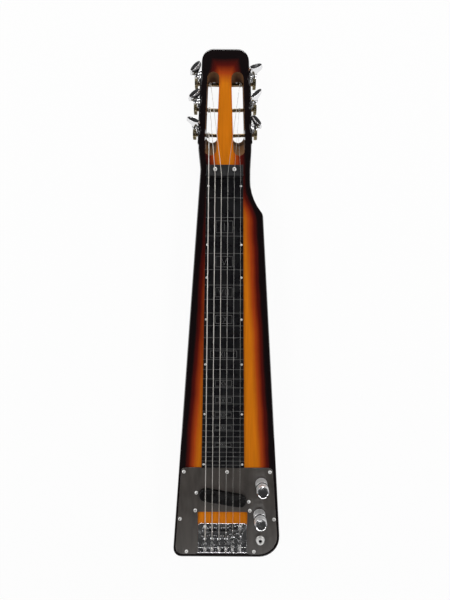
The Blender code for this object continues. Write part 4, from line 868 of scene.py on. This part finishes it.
# The strings: plain steel for the three thin ones, and a fine wound wrap on the three thick ones.
# Each runs from a ball in the back, over its saddle and the nut, to two turns on its post.
THIN_STRINGS = 3  # the plain ones, which are also those on the treble side
STRING_DIAMETERS = (0.00036, 0.00043, 0.00061, 0.00081, 0.00107, 0.00135)
SADDLE_PLACES = (0.0038, 0.0024, -0.0003, -0.0005, 0.0, -0.0008)
SADDLE_TO_BEND = 0.0048
WINDING_PLACES = (0.0218, 0.0228, 0.0238, 0.024, 0.0253, 0.027)
POST_ROWS = (-0.039, 0.0, 0.039, 0.039, 0.0, -0.039)
STRING_SPREAD = 0.056
NUT_SPREAD = 0.0488
STRING_LEVEL = 0.0466
HOLE_LINE = -0.007
HOLE_TOP = 0.0383
BALL_TOP = 0.0089
BALL_RADIUS = 0.0019
BALL_HEIGHT = 0.003
BALL_STEPS = 20
NUT_FRONT = 0.569
NUT_LINE = 0.57335
POST_RADIUS = 0.00235
WINDING_GAP = 0.0003
WINDING_SPACE = 0.00045
LOOPS = 2
LOOP_STEPS = 28
TUNER_LINE = 0.681
HEAD_HALF = 0.0392
HEAD_TAPER = math.radians(2.1)
TUNER_LEVEL = 0.028
plain, plain_shader = new_finish("plain_string", (0.5, 0.49, 0.47), 0.4, 1.0)
add_handling(plain, plain_shader, 300, 0.36, 0.46)
wound, wound_shader = new_finish("wound_string", (0.7, 0.67, 0.63), 0.5, 1.0)
add_handling(wound, wound_shader, 300, 0.45, 0.56)
wound_tree = wound.node_tree
wound_place = wound_tree.nodes.new("ShaderNodeTexCoord")
wrap = wound_tree.nodes.new("ShaderNodeTexWave")
wrap.bands_direction = "Y"
wrap.inputs["Scale"].default_value = 600
wound_tree.links.new(wound_place.outputs["Object"], wrap.inputs["Vector"])
add_bump(wound, wound_shader, wrap.outputs["Fac"], 0.00003, 0.6)


def string_share(number):
    """A string's place across the guitar, from half on the treble side to minus half on the bass side."""
    return 0.5 - (number - 1) / (STRING_COUNT - 1)


def side_place(side):
    """A tuner plate's own frame, on the head's bass (-1) or treble (1) side."""
    where = Matrix.Translation((side * HEAD_HALF, TUNER_LINE, TUNER_LEVEL))
    return where @ Matrix.Rotation(side * HEAD_TAPER, 4, "Z")


def string_route(number, radius):
    """The points of a string from its ball to the end of its windings."""
    side = 1 if number <= THIN_STRINGS else -1
    row = POST_ROWS[number - 1]
    level = STRING_LEVEL + radius
    x = string_share(number) * STRING_SPREAD
    nut_x = string_share(number) * NUT_SPREAD
    bend = SADDLE_PLACES[number - 1] - SADDLE_TO_BEND - radius
    route = [
        (x, HOLE_LINE, BALL_TOP),
        (x, HOLE_LINE, HOLE_TOP),
        (x, HOLE_LINE, BRIDGE_TOP),
        (x, bend - radius, level - 2 * radius),
        (x, bend, level - radius / 2),
        (x, bend + 2 * radius, level),
        (nut_x, NUT_FRONT, level),
        (nut_x, NUT_LINE, level),
    ]
    reach = POST_RADIUS + WINDING_GAP + radius
    slope = math.atan2(level - TUNER_LEVEL - reach, TUNER_LINE + row - NUT_LINE)
    pitch = 2 * radius + WINDING_SPACE
    edge = HEAD_HALF - row * math.tan(HEAD_TAPER)
    start = side * (WINDING_PLACES[number - 1] - edge - pitch * LOOPS / 2)
    for step in range(LOOPS * LOOP_STEPS + 1):
        loop = step / LOOP_STEPS
        angle = math.pi / 2 - slope - math.tau * loop
        local = Vector((start + side * pitch * loop, row + reach * math.cos(angle), reach * math.sin(angle)))
        route.append(side_place(side) @ local)
    return route


BALL = [
    (0, BALL_TOP - BALL_HEIGHT),
    (BALL_RADIUS, BALL_TOP - BALL_HEIGHT),
    (BALL_RADIUS, BALL_TOP),
    (0, BALL_TOP),
]
for number, diameter in enumerate(STRING_DIAMETERS, 1):
    radius = diameter / 2
    string_bm = wire(string_route(number, radius), radius)
    x = string_share(number) * STRING_SPREAD
    put(string_bm, turned(BALL, BALL_STEPS), Matrix.Translation((x, HOLE_LINE, 0)))
    finish = plain if number <= THIN_STRINGS else wound
    string = add_piece(f"string_{number}_finish", string_bm, finish, "guitar", sharp=60)
    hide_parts(f"string_{number}")

# The ferrules: six chromed cups, pressed into the back, that hold the strings' ball ends.
# They sit flush with the wood, in line across the guitar.
FERRULE = [(0.0039, 0.0001), (0.0039, 0.0092), (0.0023, 0.0092), (0.0023, 0.001), (0.0029, 0.0001)]
FERRULE_STEPS = 24
ferrule_bm = bmesh.new()
for number in range(1, STRING_COUNT + 1):
    x = string_share(number) * STRING_SPREAD
    put(ferrule_bm, turned(FERRULE, FERRULE_STEPS, ring=True), Matrix.Translation((x, HOLE_LINE, 0)))
add_piece("string_ferrules", ferrule_bm, chrome, "guitar")

# The tuners: keys with oval buttons and worms in chromed side plates, brass gears and dark bronze posts.
# Eight screws hold each side plate to the side of the head.
PLATE_FACE = 0.0015
TUNER_SCREW = (0.0016, 0.0008)
TUNER_SCREW_ROWS = (-0.0525, -0.0165, 0.0225, 0.054)
TUNER_SCREW_HEIGHT = 0.0042
bronze, bronze_shader = new_finish("dark_bronze", (0.16, 0.11, 0.06), 0.3, 1.0)
add_handling(bronze, bronze_shader, 220, 0.2, 0.42)
tuner_screws = []
for side, label in ((-1, "bass"), (1, "treble")):
    finished(f"{label}_tuner_plate", chrome, edge=0.0002)
    outward = Matrix.Rotation(side * math.pi / 2, 4, "Y")
    for row in TUNER_SCREW_ROWS:
        for height in (-TUNER_SCREW_HEIGHT, TUNER_SCREW_HEIGHT):
            where = Matrix.Translation((side * PLATE_FACE, row, height))
            tuner_screws.append(side_place(side) @ where @ outward)
add_screws("tuner_plate", tuner_screws, *TUNER_SCREW)
for number in range(1, STRING_COUNT + 1):
    finished(f"tuner_{number}_key", chrome, sharp=50)
    finished(f"tuner_{number}_gear", brass, sharp=30)
    finished(f"tuner_{number}_post", bronze, sharp=50)
